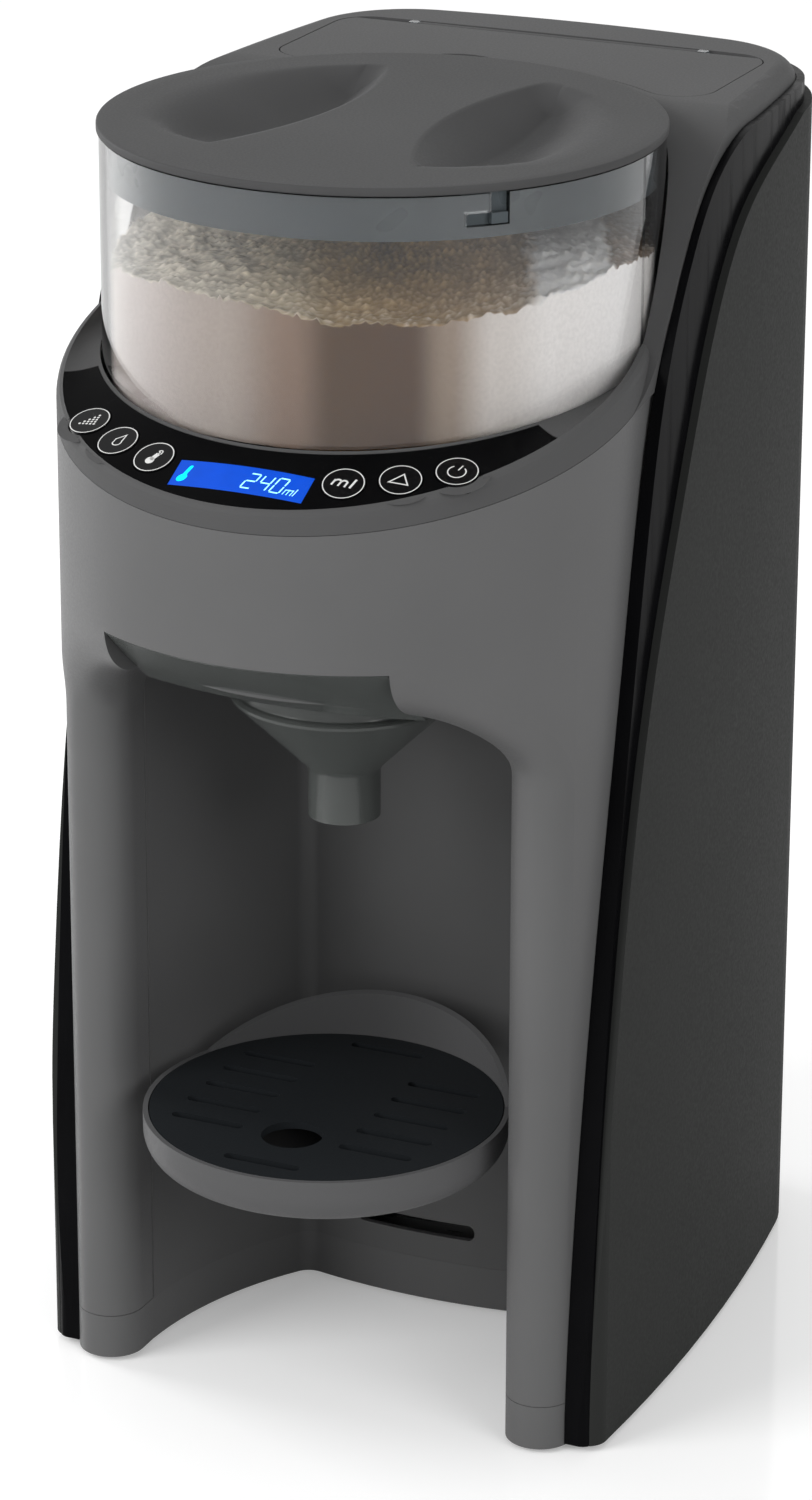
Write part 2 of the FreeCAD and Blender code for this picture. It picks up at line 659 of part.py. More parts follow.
def rimSolid():
    """Solid under the slanted control rim: round nose outside, container collar inside."""
    rings = [ringAt("rim_foot", s.fasciaRadius, s.fasciaY, s.rimFront - s.rimSkirt, s.rimSlope)]
    for count in range(4):
        turn = math.radians(30 * count)
        inward = 1 - math.cos(turn)
        rings.append(ringAt("rim_edge_%d" % count, s.fasciaRadius - s.browSide * inward,
                            s.fasciaY - (s.browSide - s.browFront) * inward,
                            s.rimFront + s.browRise * inward - s.browDrop * (1 - math.sin(turn)),
                            s.rimSlope))
    rings.append(ringAt("collar_edge", s.containerRadius + s.boreGap, s.containerY,
                        s.collarFront, s.collarSlope))
    loft = doc.addObject("Part::Loft", "Step_rim_solid")
    loft.Sections = rings
    loft.Solid = True
    loft.Ruled = True
    return loft


def shoulderSolid():
    """Everything under the shoulder that rises behind the rim and runs back as the deck."""
    body = newBody("shoulder_solid")
    sketch = sketchOn(body, "YZ_Plane")
    low = s.deckTop - 110
    foot = s.deckTop - s.shoulderFootDrop
    loop(sketch, [(s.shoulderFootY, low, 0), (150, low, 0), (150, s.deckTop, 0),
                  (s.deckFrontY, s.deckTop, s.shoulderCrown), (s.riseTopY, s.deckTop - s.riseTopDrop, 0),
                  (s.riseFootY, s.deckTop - s.riseFootDrop, -s.shoulderHollow),
                  (s.shoulderFootY, foot, 0)])
    feature(body, "Pad", sketch, 240, both=True)
    return body


def wholeTop(label, block, rim, shoulder, drop):
    """The cover's form, or the same form lowered to make a hollow under it."""
    if drop is None:
        return common(label, [block, fuse(label + "_form", [rim, shoulder])])
    return common(label, [block, fuse(label + "_form", [lowered(label + "_rim", rim, s.rimWall),
                                                        lowered(label + "_shoulder", shoulder, drop)])])


def tankOutline(inset):
    """The tank's well behind the container: a hollow front that follows it, and a bowed rear."""
    ring = s.tankFrontRing + inset
    half = s.tankHalf - inset
    nearY = s.containerY + root(ring * ring - half * half)
    return [(-half, nearY, -ring), (half, nearY, 0), (half, s.tankSideY - inset, s.tankRearBow),
            (-half, s.tankSideY - inset, 0)]


def topCover():
    rim = rimSolid()
    shoulder = shoulderSolid()
    block = slab("cover_block", greyOutline(0), s.deckTop - s.coverDepth, s.deckTop)
    roundEdges(block, s.deckEdgeRound, lambda edge: edge.BoundBox.ZMin > num(s.deckTop) - 0.01)
    room = slab("cover_room", greyOutline(s.shellWall), s.deckTop - s.coverDepth - 1, s.deckTop)
    form = wholeTop("cover_form", block, rim, shoulder, None)
    bore = s.containerRadius + s.boreGap
    collar = cylinder("collar_outside", bore + s.collarWall, s.coverDepth + 20, 0, s.containerY,
                      s.deckTop - s.coverDepth - 5)
    frame = slab("well_frame", tankOutline(-s.tankLidLedge - s.wellFrame), s.deckTop - s.frameDeep,
                 s.deckTop + 5, [(s.tankRound + s.tankLidLedge + s.wellFrame, upright)])
    hollow = cut("cover_hollow", wholeTop("cover_hollow_form", room, rim, shoulder, s.deckWall),
                 [collar, frame])
    seam = newBody("below_seam")
    sketch = sketchOn(seam, "YZ_Plane")
    start = frontY - 10
    end = s.shellRearY + 1
    loop(sketch, [(start, 200, 0), (end, 200, 0), (end, seamHeight(end) + s.seatGap, 0),
                  (start, seamHeight(start) + s.seatGap, 0)])
    feature(seam, "Pad", sketch, 240, both=True)
    lipRadius = s.containerNeckRadius + s.lipGap
    bores = [cylinder("container_bore", bore, 120, 0, s.containerY, s.collarBottom + s.lipThick),
             cylinder("neck_bore", lipRadius, 200, 0, s.containerY, s.deckTop - 150),
             cylinder("under_collar", bore + s.collarWall + 1, s.coverDepth, 0, s.containerY,
                      s.collarBottom - s.coverDepth)]
    ledge = slab("tank_lid_seat", tankOutline(-s.tankLidLedge), s.deckTop - s.tankLidThick, s.deckTop + 1,
                 [(s.tankRound + s.tankLidLedge, upright)])
    well = slab("tank_opening", tankOutline(0), s.deckTop - s.coverDepth, s.deckTop + 1,
                [(s.tankRound, upright)])
    slots = [panelSolid("panel_recess", rim, -s.seatGap, s.panelThick + s.seatGap)]
    holes = [cylinder("button_hole_%d" % count, s.buttonRadius + s.buttonFlange + s.fitGap, 12,
                      *spot, turn) for count, (spot, turn) in enumerate(buttonPlaces(-6))]
    half = s.displayLength / 2 + s.displayFrame
    deep = s.displayDepth / 2 + s.displayFrame
    window = box("display_hole", (-half, half), (displayY - deep, displayY + deep),
                 (s.rimFront - 20, s.collarFront + 20))
    return cut("top_cover", form, [hollow, seam] + bores + [ledge, well] + slots + holes + [window]), rim


def rimPoint(x, y):
    """Height of the slanted control rim at a place in plan, and its upward normal."""
    brow = num(s.fasciaRadius - s.browSide)
    browY = num(s.fasciaY - s.browSide + s.browFront)
    browFront = num(s.rimFront + s.browRise)

    def ring(turn, share):
        outer = (brow * math.sin(turn), browY - brow * math.cos(turn))
        collar = num(s.containerRadius) + num(s.boreGap)
        inner = (collar * math.sin(turn), num(s.containerY) - collar * math.cos(turn))
        high = (browFront + num(s.rimSlope) * brow * (1 - math.cos(turn)),
                num(s.collarFront) + num(s.collarSlope) * collar * (1 - math.cos(turn)))
        return [(1 - share) * a + share * b for a, b in zip(outer + high[:1], inner + high[1:])]
    turn, share = math.atan2(x, num(s.containerY) - y), 0.5
    for _ in range(40):
        here = ring(turn, share)
        step = 1e-4
        aside = ring(turn + step, share)
        inward = ring(turn, share + step)
        a, b = (aside[0] - here[0]) / step, (inward[0] - here[0]) / step
        c, d = (aside[1] - here[1]) / step, (inward[1] - here[1]) / step
        gapX, gapY = x - here[0], y - here[1]
        whole = a * d - b * c
        turn += (d * gapX - b * gapY) / whole
        share += (a * gapY - c * gapX) / whole
    here = FreeCAD.Vector(*ring(turn, share))
    along = FreeCAD.Vector(*ring(turn + 1e-3, share)) - here
    inward = FreeCAD.Vector(*ring(turn, share + 1e-3)) - here
    normal = along.cross(inward).normalize()
    return here, normal if normal.z > 0 else -normal


buttonTurns = [side * (num(s.buttonFirst) + step * num(s.buttonStep))
               for side in (-1, 1) for step in range(3)]
displayY = s.containerY - s.buttonRing


def buttonPlaces(sink):
    """Where each button's axis meets the rim, moved along the axis, with the turn that aligns a cylinder."""
    places = []
    for turn in buttonTurns:
        spot, normal = rimPoint(num(s.buttonRing) * math.sin(math.radians(turn)),
                                num(s.containerY) - num(s.buttonRing) * math.cos(math.radians(turn)))
        foot = spot + normal * sink
        places.append(((foot.x, foot.y, foot.z), FreeCAD.Rotation(FreeCAD.Vector(0, 0, 1), normal)))
    return places


def sectorSolid(label, trim, halfAngle):
    """A standing wedge over the control rim, held inside its outer and inner edges."""
    reach = s.halfWidth * 1.65
    angle = math.radians(num(halfAngle))
    aside = reach * math.sin(angle)
    ahead = s.containerY - reach * math.cos(angle)
    wedge = newBody(label + "_wedge")
    pad(wedge, "XY_Plane", [(0, s.containerY, 0), (-aside, ahead, 0), (0, s.containerY - reach, 0),
                            (aside, ahead, 0)], s.rimFront - 40, s.deckTop)
    outer = cylinder(label + "_outer", s.fasciaRadius - s.browSide + s.panelMargin - s.seatGap - trim,
                     120, 0, s.fasciaY - s.browSide + s.browFront, s.rimFront - 40)
    inner = cylinder(label + "_inner", s.containerRadius + s.boreGap + trim, 140, 0, s.containerY,
                     s.rimFront - 50)
    return cut(label, common(label + "_band", [wedge, outer]), [inner])


def panelSolid(label, rim, grow, thick):
    """The crescent of the control panel, cut from the rim's own surface."""
    sector = sectorSolid(label + "_sector", s.panelMargin + grow, s.panelHalfAngle - grow)
    return cut(label, common(label + "_top", [sector, rim]), [lowered(label + "_below", rim, thick)])


cover, rim = topCover()
node(cover, "top_cover")


# ---------------------------------------------------------------- casing and trim
def curtain(label, points):
    """Everything behind and below a smooth line in the side view, as a wide solid.

    The last run of the line is straight.
    """
    wide = 130
    line = [FreeCAD.Vector(-wide, num(y), num(z)) for y, z in points]
    spline = Part.BSplineCurve()
    spline.interpolate(line[:-1])
    far = FreeCAD.Vector(-wide, 160, line[-1].z)
    deep = FreeCAD.Vector(-wide, 160, -10)
    near = FreeCAD.Vector(-wide, line[0].y, -10)
    ends = [line[-2], line[-1], far, deep, near, line[0]]
    rest = [Part.makeLine(a, b) for a, b in zip(ends, ends[1:])]
    thing = doc.addObject("Part::Feature", "Step_" + label)
    thing.Shape = Part.Face(Part.Wire([spline.toShape()] + rest)).extrude(FreeCAD.Vector(2 * wide, 0, 0))
    thing.Label = label
    return thing


# The two lines that bound the gloss band in the side view: set back from the leg front, below the deck.
seamPoints = [(-1, 374), (0.5, 330), (3.5, 285), (8, 238), (15.5, 180), (23.5, 133), (31, 95), (37, 72),
              (45, 52), (58, 31.5), (74, 15.5), (92, 7.5), (117, 5), (220, 5)]
casingPoints = [(0.8, 374), (3, 305), (11.5, 230), (21, 178), (34, 134), (48, 100), (61, 72), (74, 50),
                (94, 30), (122, 19), (157, 12), (220, 8)]


def sideLine(points):
    return [(s.legFrontY + back, s.deckTop - drop) for back, drop in points]


seamCurtain = curtain("seam_curtain", sideLine(seamPoints))
casingCurtain = curtain("casing_curtain", sideLine(casingPoints))


def greyBlock(label, grow, bottom, top):
    return slab(label, greyOutline(-grow), bottom, top)


def frontCorners(edge):
    return upright(edge, y=lambda y: y < 0)


def trimBand():
    outer = slab("trim_outer", casingOutline(s.trimInset, s.legFrontY - s.legFrontSet), s.casingFoot,
                 s.deckTop, [(s.legCornerRound - s.trimInset, frontCorners)])
    band = common("trim_form", [outer, seamCurtain])
    return cut("trim_band", band, [casingCurtain, greyBlock("trim_room", s.seatGap, -1, s.deckTop + s.past)])


def rearCasing():
    outer = slab("casing_outer", casingOutline(0, s.legFrontY), s.casingFoot, s.deckTop,
                 [(s.legCornerRound, frontCorners)])
    room = slab("casing_room", casingOutline(s.casingWall, s.legFrontY - s.past), -1, s.deckTop + s.past)
    gland = FreeCAD.Rotation(FreeCAD.Vector(1, 0, 0), -90)
    hole = cylinder("gland_hole", s.glandRadius + s.seatGap, 60, s.glandX, rearY(0) - 20, s.glandZ, gland)
    return cut("rear_casing", common("casing_form", [outer, casingCurtain]), [room, hole])


node(trimBand(), "trim_band")
node(rearCasing(), "rear_casing")


# ---------------------------------------------------------------- controls
def controls():
    panel = panelSolid("panel_blank", rim, 0, s.panelThick)
    holes = [cylinder("panel_hole_%d" % count, s.buttonRadius + s.fitGap, 12, *spot, turn)
             for count, (spot, turn) in enumerate(buttonPlaces(-6))]
    window = displayBox("panel_window", s.seatGap / 2)
    node(cut("control_panel", panel, holes + [window]), "control_panel")
    glass = common("display_top", [displayBox("display_block", 0),
                                   lowered("display_face", rim, s.displaySink)])
    display = cut("display_glass", glass, [lowered("display_back", rim, s.boardDrop - s.seatGap)])
    node(display, "display_module")
    board = common("board_top", [sectorSolid("board_sector", s.boardTrim, s.panelHalfAngle - 8),
                                 lowered("board_face", rim, s.boardDrop)])
    board = cut("board_blank", board, [lowered("board_back", rim, s.boardDrop + s.boardThick)])
    node(board, "control_board")
    names = ("scoop", "water", "warmth", "volume", "start", "power")
    order = sorted(range(6), key=lambda count: buttonTurns[count])
    domes = []
    for name, count in zip(names, order):
        turn = buttonPlaces(0)[count][1]
        rise = turn.multVec(FreeCAD.Vector(0, 0, 1)).z
        boardTop = s.boardDrop * rise
        capDeep = s.panelThick + 2 * s.seatGap
        top = buttonPlaces(num(s.buttonProud - s.buttonHeight))[count][0]
        cap = cylinder(name + "_cap", s.buttonRadius, s.buttonHeight, *top, turn)
        lower = capDeep + s.buttonRim
        flangeSpot = buttonPlaces(-num(lower))[count][0]
        flange = cylinder(name + "_flange", s.buttonRadius + s.buttonFlange, s.buttonRim, *flangeSpot, turn)
        keyTop = boardTop - s.domeHeight
        stemEnd = keyTop - s.buttonTravel - s.seatGap / 2
        stemSpot = buttonPlaces(-num(stemEnd))[count][0]
        stem = cylinder(name + "_stem", s.stemRadius, stemEnd - capDeep, *stemSpot, turn)
        node(fuse(name + "_keys", [cap, flange, stem]), "button_" + name)
        domeSpot = buttonPlaces(-num(boardTop))[count][0]
        domes.append(cylinder(name + "_dome", s.domeRadius, s.domeHeight, *domeSpot, turn))
    raised = fuse("dome_blanks", domes)
    node(cut("dome_pads", raised, [lowered("dome_floor", rim, s.boardDrop)]), "key_domes")


def displayBox(label, grow):
    half = s.displayLength / 2 + grow
    deep = s.displayDepth / 2 + grow
    return box(label, (-half, half), (displayY - deep, displayY + deep),
               (s.rimFront - 25, s.collarFront + 25))


controls()


# ---------------------------------------------------------------- powder container and lid
def atContainer(body):
    return place(body, 0, s.containerY, 0)


def containerBody():
    body = newBody("container_blank")
    wide = s.containerRadius
    slim = s.containerNeckRadius
    wall = s.containerWall
    turned(body, [(slim - wall, s.dosingTop, 0), (slim, s.dosingTop, 0),
                  (slim, s.containerShoulderBottom, 0),
                  (wide, s.containerShoulderTop, 0), (wide, s.deckTop, 0), (wide - wall, s.deckTop, 0),
                  (wide - wall, s.containerShoulderTop + 1, 0),
                  (slim - wall, s.containerShoulderBottom + 1, 0)])
    atContainer(body)
    tools = []
    for count in range(3):
        turn = slotTurn(count)
        tools.append(slotBlock("lug_mouth_%d" % count, turn, -s.lugHalf - s.fitGap, s.lugHalf + s.fitGap,
                               s.lugBottom - s.fitGap, s.deckTop + 1))
        tools.append(slotBlock("lug_run_%d" % count, turn, -s.lugHalf - s.lidTravel - s.fitGap,
                               s.lugHalf + s.fitGap, s.lugBottom - s.fitGap,
                               s.lugBottom + s.lugHeight + s.fitGap))
    return cut("container_body", body, tools)


def slotTurn(count):
    return 48 - 90 + count * 120


def slotBlock(label, turn, first, last, bottom, top):
    """A block across the wall, set by its distance along the wall from the lug's middle."""
    block = add("Part::Box", label, Length=8, Width=last - first, Height=top - bottom)
    spin = FreeCAD.Rotation(FreeCAD.Vector(0, 0, 1), turn)
    offset = spin.multVec(FreeCAD.Vector(num(s.containerRadius) - 5, num(first), 0))
    return place(block, offset.x, s.containerY + offset.y, bottom, spin)


def lidSkirt():
    outer = s.containerRadius - s.containerWall - s.fitGap
    low = s.lidTop - s.lidDisc - s.skirtHeight
    ring = tube("skirt_ring", outer, outer - s.skirtWall, low, s.lidTop - s.lidDisc, 0, s.containerY)
    lugs = []
    for count in range(3):
        block = add("Part::Box", "lug_%d" % count, Length=s.skirtWall / 2 + s.fitGap + s.containerWall * 0.8,
                    Width=s.lugHalf * 2, Height=s.lugHeight)
        spin = FreeCAD.Rotation(FreeCAD.Vector(0, 0, 1), slotTurn(count))
        offset = spin.multVec(FreeCAD.Vector(num(outer - s.skirtWall / 2), -num(s.lugHalf), 0))
        lugs.append(place(block, offset.x, s.containerY + offset.y, s.lugBottom, spin))
    return fuse("lid_skirt", [ring] + lugs)


def lidCap():
    """A flat disc over a plug, with a scooped finger recess each side of the grip."""
    low = s.lidTop - s.lidDisc - s.skirtHeight
    disc = cylinder("lid_disc", s.lidRadius, s.lidDisc, 0, s.containerY, s.lidTop - s.lidDisc)
    plug = cylinder("lid_plug", s.lidPlugRadius, s.skirtHeight - 1, 0, s.containerY, low + 1)
    scoops = []
    for side, label in ((1, "right"), (-1, "left")):
        body = newBody("scoop_" + label)
        sketch = sketchOn(body, "XZ_Plane")
        floor = s.lidTop - s.recessDepth
        corners = [(s.gripHalf, floor, s.scoopBow), (s.recessRadius, s.lidTop, 0),
                   (s.recessRadius, s.lidTop + 2, 0), (s.gripHalf, s.lidTop + 2, 0)]
        loop(sketch, corners if side > 0 else mirrored(corners))
        feature(body, "Pad", sketch, 200, both=True)
        atContainer(body)
        bowl = cylinder("bowl_" + label, s.recessRadius - 1, 40, 0, s.containerY, s.lidTop - 20)
        scoops.append(common("finger_" + label, [body, bowl]))
    return cut("lid_cap", fuse("lid_blank", [disc, plug]), scoops)


node(containerBody(), "container_body")
node(lidSkirt(), "lid_skirt")
node(lidCap(), "lid_cap")
node(tube("lid_seal_ring", s.containerRadius - s.containerWall - s.skirtWall - 2 * s.fitGap,
          s.lidPlugRadius + s.fitGap, s.lidTop - s.lidDisc - s.sealHeight - s.seatGap,
          s.lidTop - s.lidDisc - s.seatGap, 0, s.containerY), "lid_seal")


# ---------------------------------------------------------------- dosing works
def hexBar(label, across, bottom, top):
    bar = add("Part::Prism", label, Circumradius=across / math.sqrt(3), Height=top - bottom)
    bar.Polygon = 6
    return place(bar, 0, s.containerY, bottom)


wheelBottom = s.dosingTop - s.wheelHeight - s.seatGap * 2


def dosingBase():
    disc = cylinder("dosing_disc", s.containerNeckRadius, s.dosingTop - s.dosingBottom, 0, s.containerY,
                    s.dosingBottom)
    tools = [cylinder("wheel_well", s.wheelRadius + s.fitGap, s.dosingTop - wheelBottom + s.seatGap + 1, 0,
                      s.containerY, wheelBottom - s.seatGap),
             cylinder("outlet_bore", s.outletRadius, 40, 0, outletY, s.dosingBottom - 1),
             cylinder("hub_bore", s.shaftRadius + s.fitGap * 2, 40, 0, s.containerY, s.dosingBottom - 1)]
    return cut("dosing_base", disc, tools)


def dosingWheel():
    disc = cylinder("wheel_disc", s.wheelRadius, s.wheelHeight, 0, s.containerY, wheelBottom)
    tools = [hexBar("wheel_socket", s.hexAcross + s.fitGap * 2, wheelBottom - 1,
                    wheelBottom + s.hexDeep + 0.5)]
    count = int(num(s.wheelPockets))
    for pocket in range(count):
        turn = math.radians(pocket * 360 / count)
        tools.append(cylinder("pocket_%d" % pocket, s.outletRadius, 20, s.outletRing * math.sin(turn),
                              s.containerY - s.outletRing * math.cos(turn), wheelBottom - 5))
    return cut("dosing_wheel", disc, tools)


def doseCover():
    """The sector over the outlet that keeps loose powder from running straight out."""
    angle = math.radians(num(s.coverHalfAngle))
    reach = 120
    wedge = newBody("dose_wedge")
    pad(wedge, "XY_Plane", [(0, 0, 0), (-reach * math.sin(angle), -reach * math.cos(angle), 0),
                            (reach * math.sin(angle), -reach * math.cos(angle), 0)],
        s.dosingTop + s.seatGap, s.dosingTop + s.seatGap + s.coverThick)
    atContainer(wedge)
    disc = cylinder("dose_disc", s.containerNeckRadius - s.containerWall - s.seatGap, 60, 0, s.containerY,
                    s.dosingTop - 10)
    hub = cylinder("dose_hub", s.hubRadius + 3, 80, 0, s.containerY, s.dosingTop - 20)
    return cut("dose_cover", common("dose_sector", [wedge, disc]), [hub])


def stirrer():
    low = s.dosingTop + s.seatGap
    hub = cone("stirrer_hub", s.hubRadius, s.hubRadius * 0.6, s.hubHeight, 0, s.containerY,
               wheelBottom + s.wheelHeight + s.seatGap)
    blades = [hub]
    for count in range(3):
        spin = FreeCAD.Rotation(FreeCAD.Vector(0, 0, 1), 90 + count * 120)
        for label, first, length, height, base in (
                ("arm", 0, s.stirrerReach, s.armHeight, low + s.coverThick + s.fitGap),
                ("wiper", s.stirrerReach - s.wiperWidth, s.wiperWidth, s.wiperHeight,
                 low + s.coverThick + s.fitGap)):
            bar = add("Part::Box", "%s_%d" % (label, count), Length=length, Width=s.armWidth, Height=height)
            offset = spin.multVec(FreeCAD.Vector(num(first), -num(s.armWidth) / 2, 0))
            blades.append(place(bar, offset.x, s.containerY + offset.y, base, spin))
    return fuse("stirrer", blades)


def formulaPowder():
    """The powder as it lies: level where it meets the wall, with a low mound, clear of the stirrer."""
    body = newBody("powder_heap")
    slim = s.containerNeckRadius - s.containerWall - s.fitGap
    wide = s.containerRadius - s.containerWall - s.fitGap
    bow = (wide * wide + s.powderMound * s.powderMound) / (s.powderMound * 2)
    turned(body, [(0, s.powderBottom, 0), (slim, s.powderBottom, 0),
                  (slim, s.containerShoulderBottom + 1, 0),
                  (wide, s.containerShoulderTop + 1, 0), (wide, s.powderTop, bow),
                  (0, s.powderTop + s.powderMound, 0)])
    atContainer(body)
    hub = cylinder("powder_hub_room", s.hubRadius, s.hubHeight, 0, s.containerY, s.dosingTop + 1)
    return cut("formula_powder", body, [hub])


node(dosingBase(), "dosing_base")
node(dosingWheel(), "dosing_wheel")
node(doseCover(), "dose_cover")
node(stirrer(), "stirrer")
node(formulaPowder(), "formula_powder")


def containerSeat():
    body = newBody("seat_blank")
    inner = s.containerNeckRadius + s.seatCupGap
    outer = inner + s.seatCupWall
    floor = s.seatFloorTop - s.seatFloorWall
    top = s.collarBottom - s.seatGap
    flange = s.containerRadius + s.boreGap + s.collarWall - s.seatCupGap
    turned(body, [(0, floor, 0), (outer, floor, 0), (outer, top - s.seatFloorWall, 0),
                  (flange, top - s.seatFloorWall, 0), (flange, top, 0), (inner, top, 0),
                  (inner, s.seatFloorTop, 0), (0, s.seatFloorTop, 0)])
    atContainer(body)
    return cut("container_seat", body,
               [cylinder("seat_shaft_bore", s.shaftRadius + s.fitGap, 60, 0, s.containerY, floor - 20),
                cylinder("seat_outlet_bore", s.outletRadius + s.chuteWall + s.fitGap, 60, 0, outletY,
                         floor - 20)])


node(containerSeat(), "container_seat")
node(tube("powder_chute", s.outletRadius + s.chuteWall, s.outletRadius, s.funnelPlateTop + 1,
          s.seatFloorTop, 0, outletY), "powder_chute")


# ---------------------------------------------------------------- drive
def gearOutline(teeth, module, play, phase):
    """Involute teeth, each flank two short runs, thinned by a little play."""
    pitch = module * teeth / 2
    base = pitch * math.cos(math.radians(20))
    tip = pitch + module
    foot = max(pitch - 1.25 * module, 1)

    def lean(radius):
        spread = math.sqrt(max(radius * radius / base / base - 1, 0))
        return spread - math.atan(spread)

    half = math.pi / 2 / teeth + lean(pitch) - play / 2 / pitch
    radii = [max(foot, base), pitch, tip]
    points = []
    for tooth in range(teeth):
        middle = phase + 2 * math.pi * tooth / teeth
        flank = [(radius, half - lean(radius)) for radius in radii]
        run = [(foot, half)] + flank if foot < base else flank
        for radius, away in run:
            points.append((radius, middle - away))
        for radius, away in reversed(run):
            points.append((radius, middle + away))
    return [FreeCAD.Vector(radius * math.cos(turn), radius * math.sin(turn), 0) for radius, turn in points]


def gearSolid(label, teeth, phase, y):
    points = gearOutline(int(num(teeth)), num(s.gearModule), num(s.gearPlay), phase)
    face = Part.Face(Part.makePolygon(points + points[:1]))
    thing = doc.addObject("Part::Feature", "Step_" + label)
    thing.Shape = face.extrude(FreeCAD.Vector(0, 0, num(s.gearWidth)))
    thing.Label = label
    return place(thing, 0, y, s.gearBottom)


motorY = s.containerY + s.gearModule * (s.gearTeeth + s.pinionTeeth) / 2
plateBottom = s.archTop + s.ceilingWall + s.seatGap
plateTop = plateBottom + s.drivePlate
wheelGear = gearSolid("drive_wheel_blank", s.gearTeeth, math.pi / 2, s.containerY)
pinionGear = gearSolid("pinion_blank", s.pinionTeeth, -math.pi / 2 + math.pi / num(s.pinionTeeth), motorY)
windows = [cylinder("gear_window_%d" % count, s.gearWindow, 30,
                    s.gearWindowRing * math.sin(math.radians(90 * count)),
                    s.containerY + s.gearWindowRing * math.cos(math.radians(90 * count)), s.gearBottom - 5)
           for count in range(4)]
node(fuse("drive_gear", [cut("drive_wheel", wheelGear, windows),
                         cylinder("drive_shaft", s.shaftRadius, s.seatFloorTop - plateBottom - s.seatGap, 0,
                                  s.containerY, plateBottom + s.seatGap),
                         hexBar("drive_hex", s.hexAcross, s.seatFloorTop - 1, wheelBottom + s.hexDeep)]),
     "drive_gear")
pinionShaft = cylinder("pinion_shaft", s.pinionShaft, s.gearBottom - plateBottom + s.pinionReach + 1,
                       0, motorY, plateBottom - s.pinionReach)
node(fuse("pinion_on_shaft", [pinionGear, pinionShaft]), "motor_pinion")
node(cut("gear_motor", fuse("motor_blank",
                            [cylinder("motor_can", s.motorRadius, s.motorHeight, 0, motorY,
                                      plateBottom - s.seatGap - s.motorHeight - s.gearboxHeight),
                             cylinder("gearbox_can", s.motorRadius + 0.8, s.gearboxHeight, 0, motorY,
                                      plateBottom - s.seatGap - s.gearboxHeight)]),
         [cylinder("motor_bore", s.pinionShaft + s.fitGap, 40, 0, motorY,
                   plateBottom - s.pinionReach - s.seatGap)]), "gear_motor")
node(cut("drive_plate_blank", box("drive_plate_box", (-s.drivePlateHalf, s.drivePlateHalf),
                                  (s.containerY - s.drivePlateFront, motorY + s.motorRadius + 2),
                                  (plateBottom, plateTop)),
         [cylinder("plate_shaft_bore", s.shaftRadius + s.fitGap, 30, 0, s.containerY, plateBottom - 5),
          cylinder("plate_motor_bore", s.pinionShaft + s.fitGap * 2, 30, 0, motorY, plateBottom - 5)]),
     "drive_plate")


# ---------------------------------------------------------------- funnel
def funnel():
    nose = s.fasciaRadius - s.seatGap
    low = s.flangeTop - s.flangeDrop
    back = s.fasciaRadius - s.flangeBack
    ring = newBody("flange_ring")
    wall = s.funnelWall
    turned(ring, [(back - wall * 1.4, low, 0), (back, low, s.flangeBow), (nose, s.flangeTop, 0),
                  (nose - wall * 1.4, s.flangeTop, -s.flangeBow)])
    place(ring, 0, s.fasciaY, 0)
    half = s.flangeHalf
    front = box("flange_span", (-half, half), (frontY - 5, s.fasciaY - 10), (low - 5, s.flangeTop + 5))
    flange = common("flange", [ring, front])
    plateLow = s.funnelPlateTop - wall
    lip = common("plate_front", [cylinder("plate_disc", back - 0.5, wall, 0, s.fasciaY, plateLow),
                                 box("plate_wide", (-half, half), (frontY, s.funnelY - s.funnelRim),
                                     (plateLow - 1, s.funnelPlateTop + 1))])
    tongue = box("plate_slide", (-s.funnelPlateHalf, s.funnelPlateHalf),
                 (s.funnelY - s.funnelRim - 1, s.funnelRearY), (plateLow, s.funnelPlateTop))
    bowl = cone("cone_outside", s.nozzleRadius, s.funnelRim, s.funnelPlateTop - s.coneBottom, 0, s.funnelY,
                s.coneBottom)
    spout = cylinder("nozzle_outside", s.nozzleRadius, s.coneBottom - s.nozzleBottom, 0, s.funnelY,
                     s.nozzleBottom)
    bore = s.nozzleRadius - wall
    tools = [cone("cone_inside", bore, s.funnelRim - wall * 1.3, s.funnelPlateTop - s.coneBottom + 0.01, 0,
                  s.funnelY, s.coneBottom),
             cylinder("nozzle_inside", bore, 80, 0, s.funnelY, s.nozzleBottom - 5)]
    return cut("funnel", fuse("funnel_blank", [flange, lip, tongue, bowl, spout]), tools)


def funnelRails():
    inside = s.funnelPlateHalf + s.fitGap
    low = s.funnelPlateTop - s.funnelWall - s.railLip - s.fitGap
    bars = []
    for side in (-1, 1):
        for label, near, far, top in (("web", inside, inside + s.railWall, s.archTop - s.seatGap),
                                      ("lip", inside - s.railWall, inside + s.railWall, low + s.railLip)):
            span = (side * near, side * far) if side > 0 else (side * far, side * near)
            bars.append(box("rail_%s_%d" % (label, side), span, (s.funnelY - s.funnelRim + 4, s.funnelRearY),
                            (low, top)))
    return fuse("funnel_rails", bars)


node(funnel(), "funnel")
node(funnelRails(), "funnel_rails")


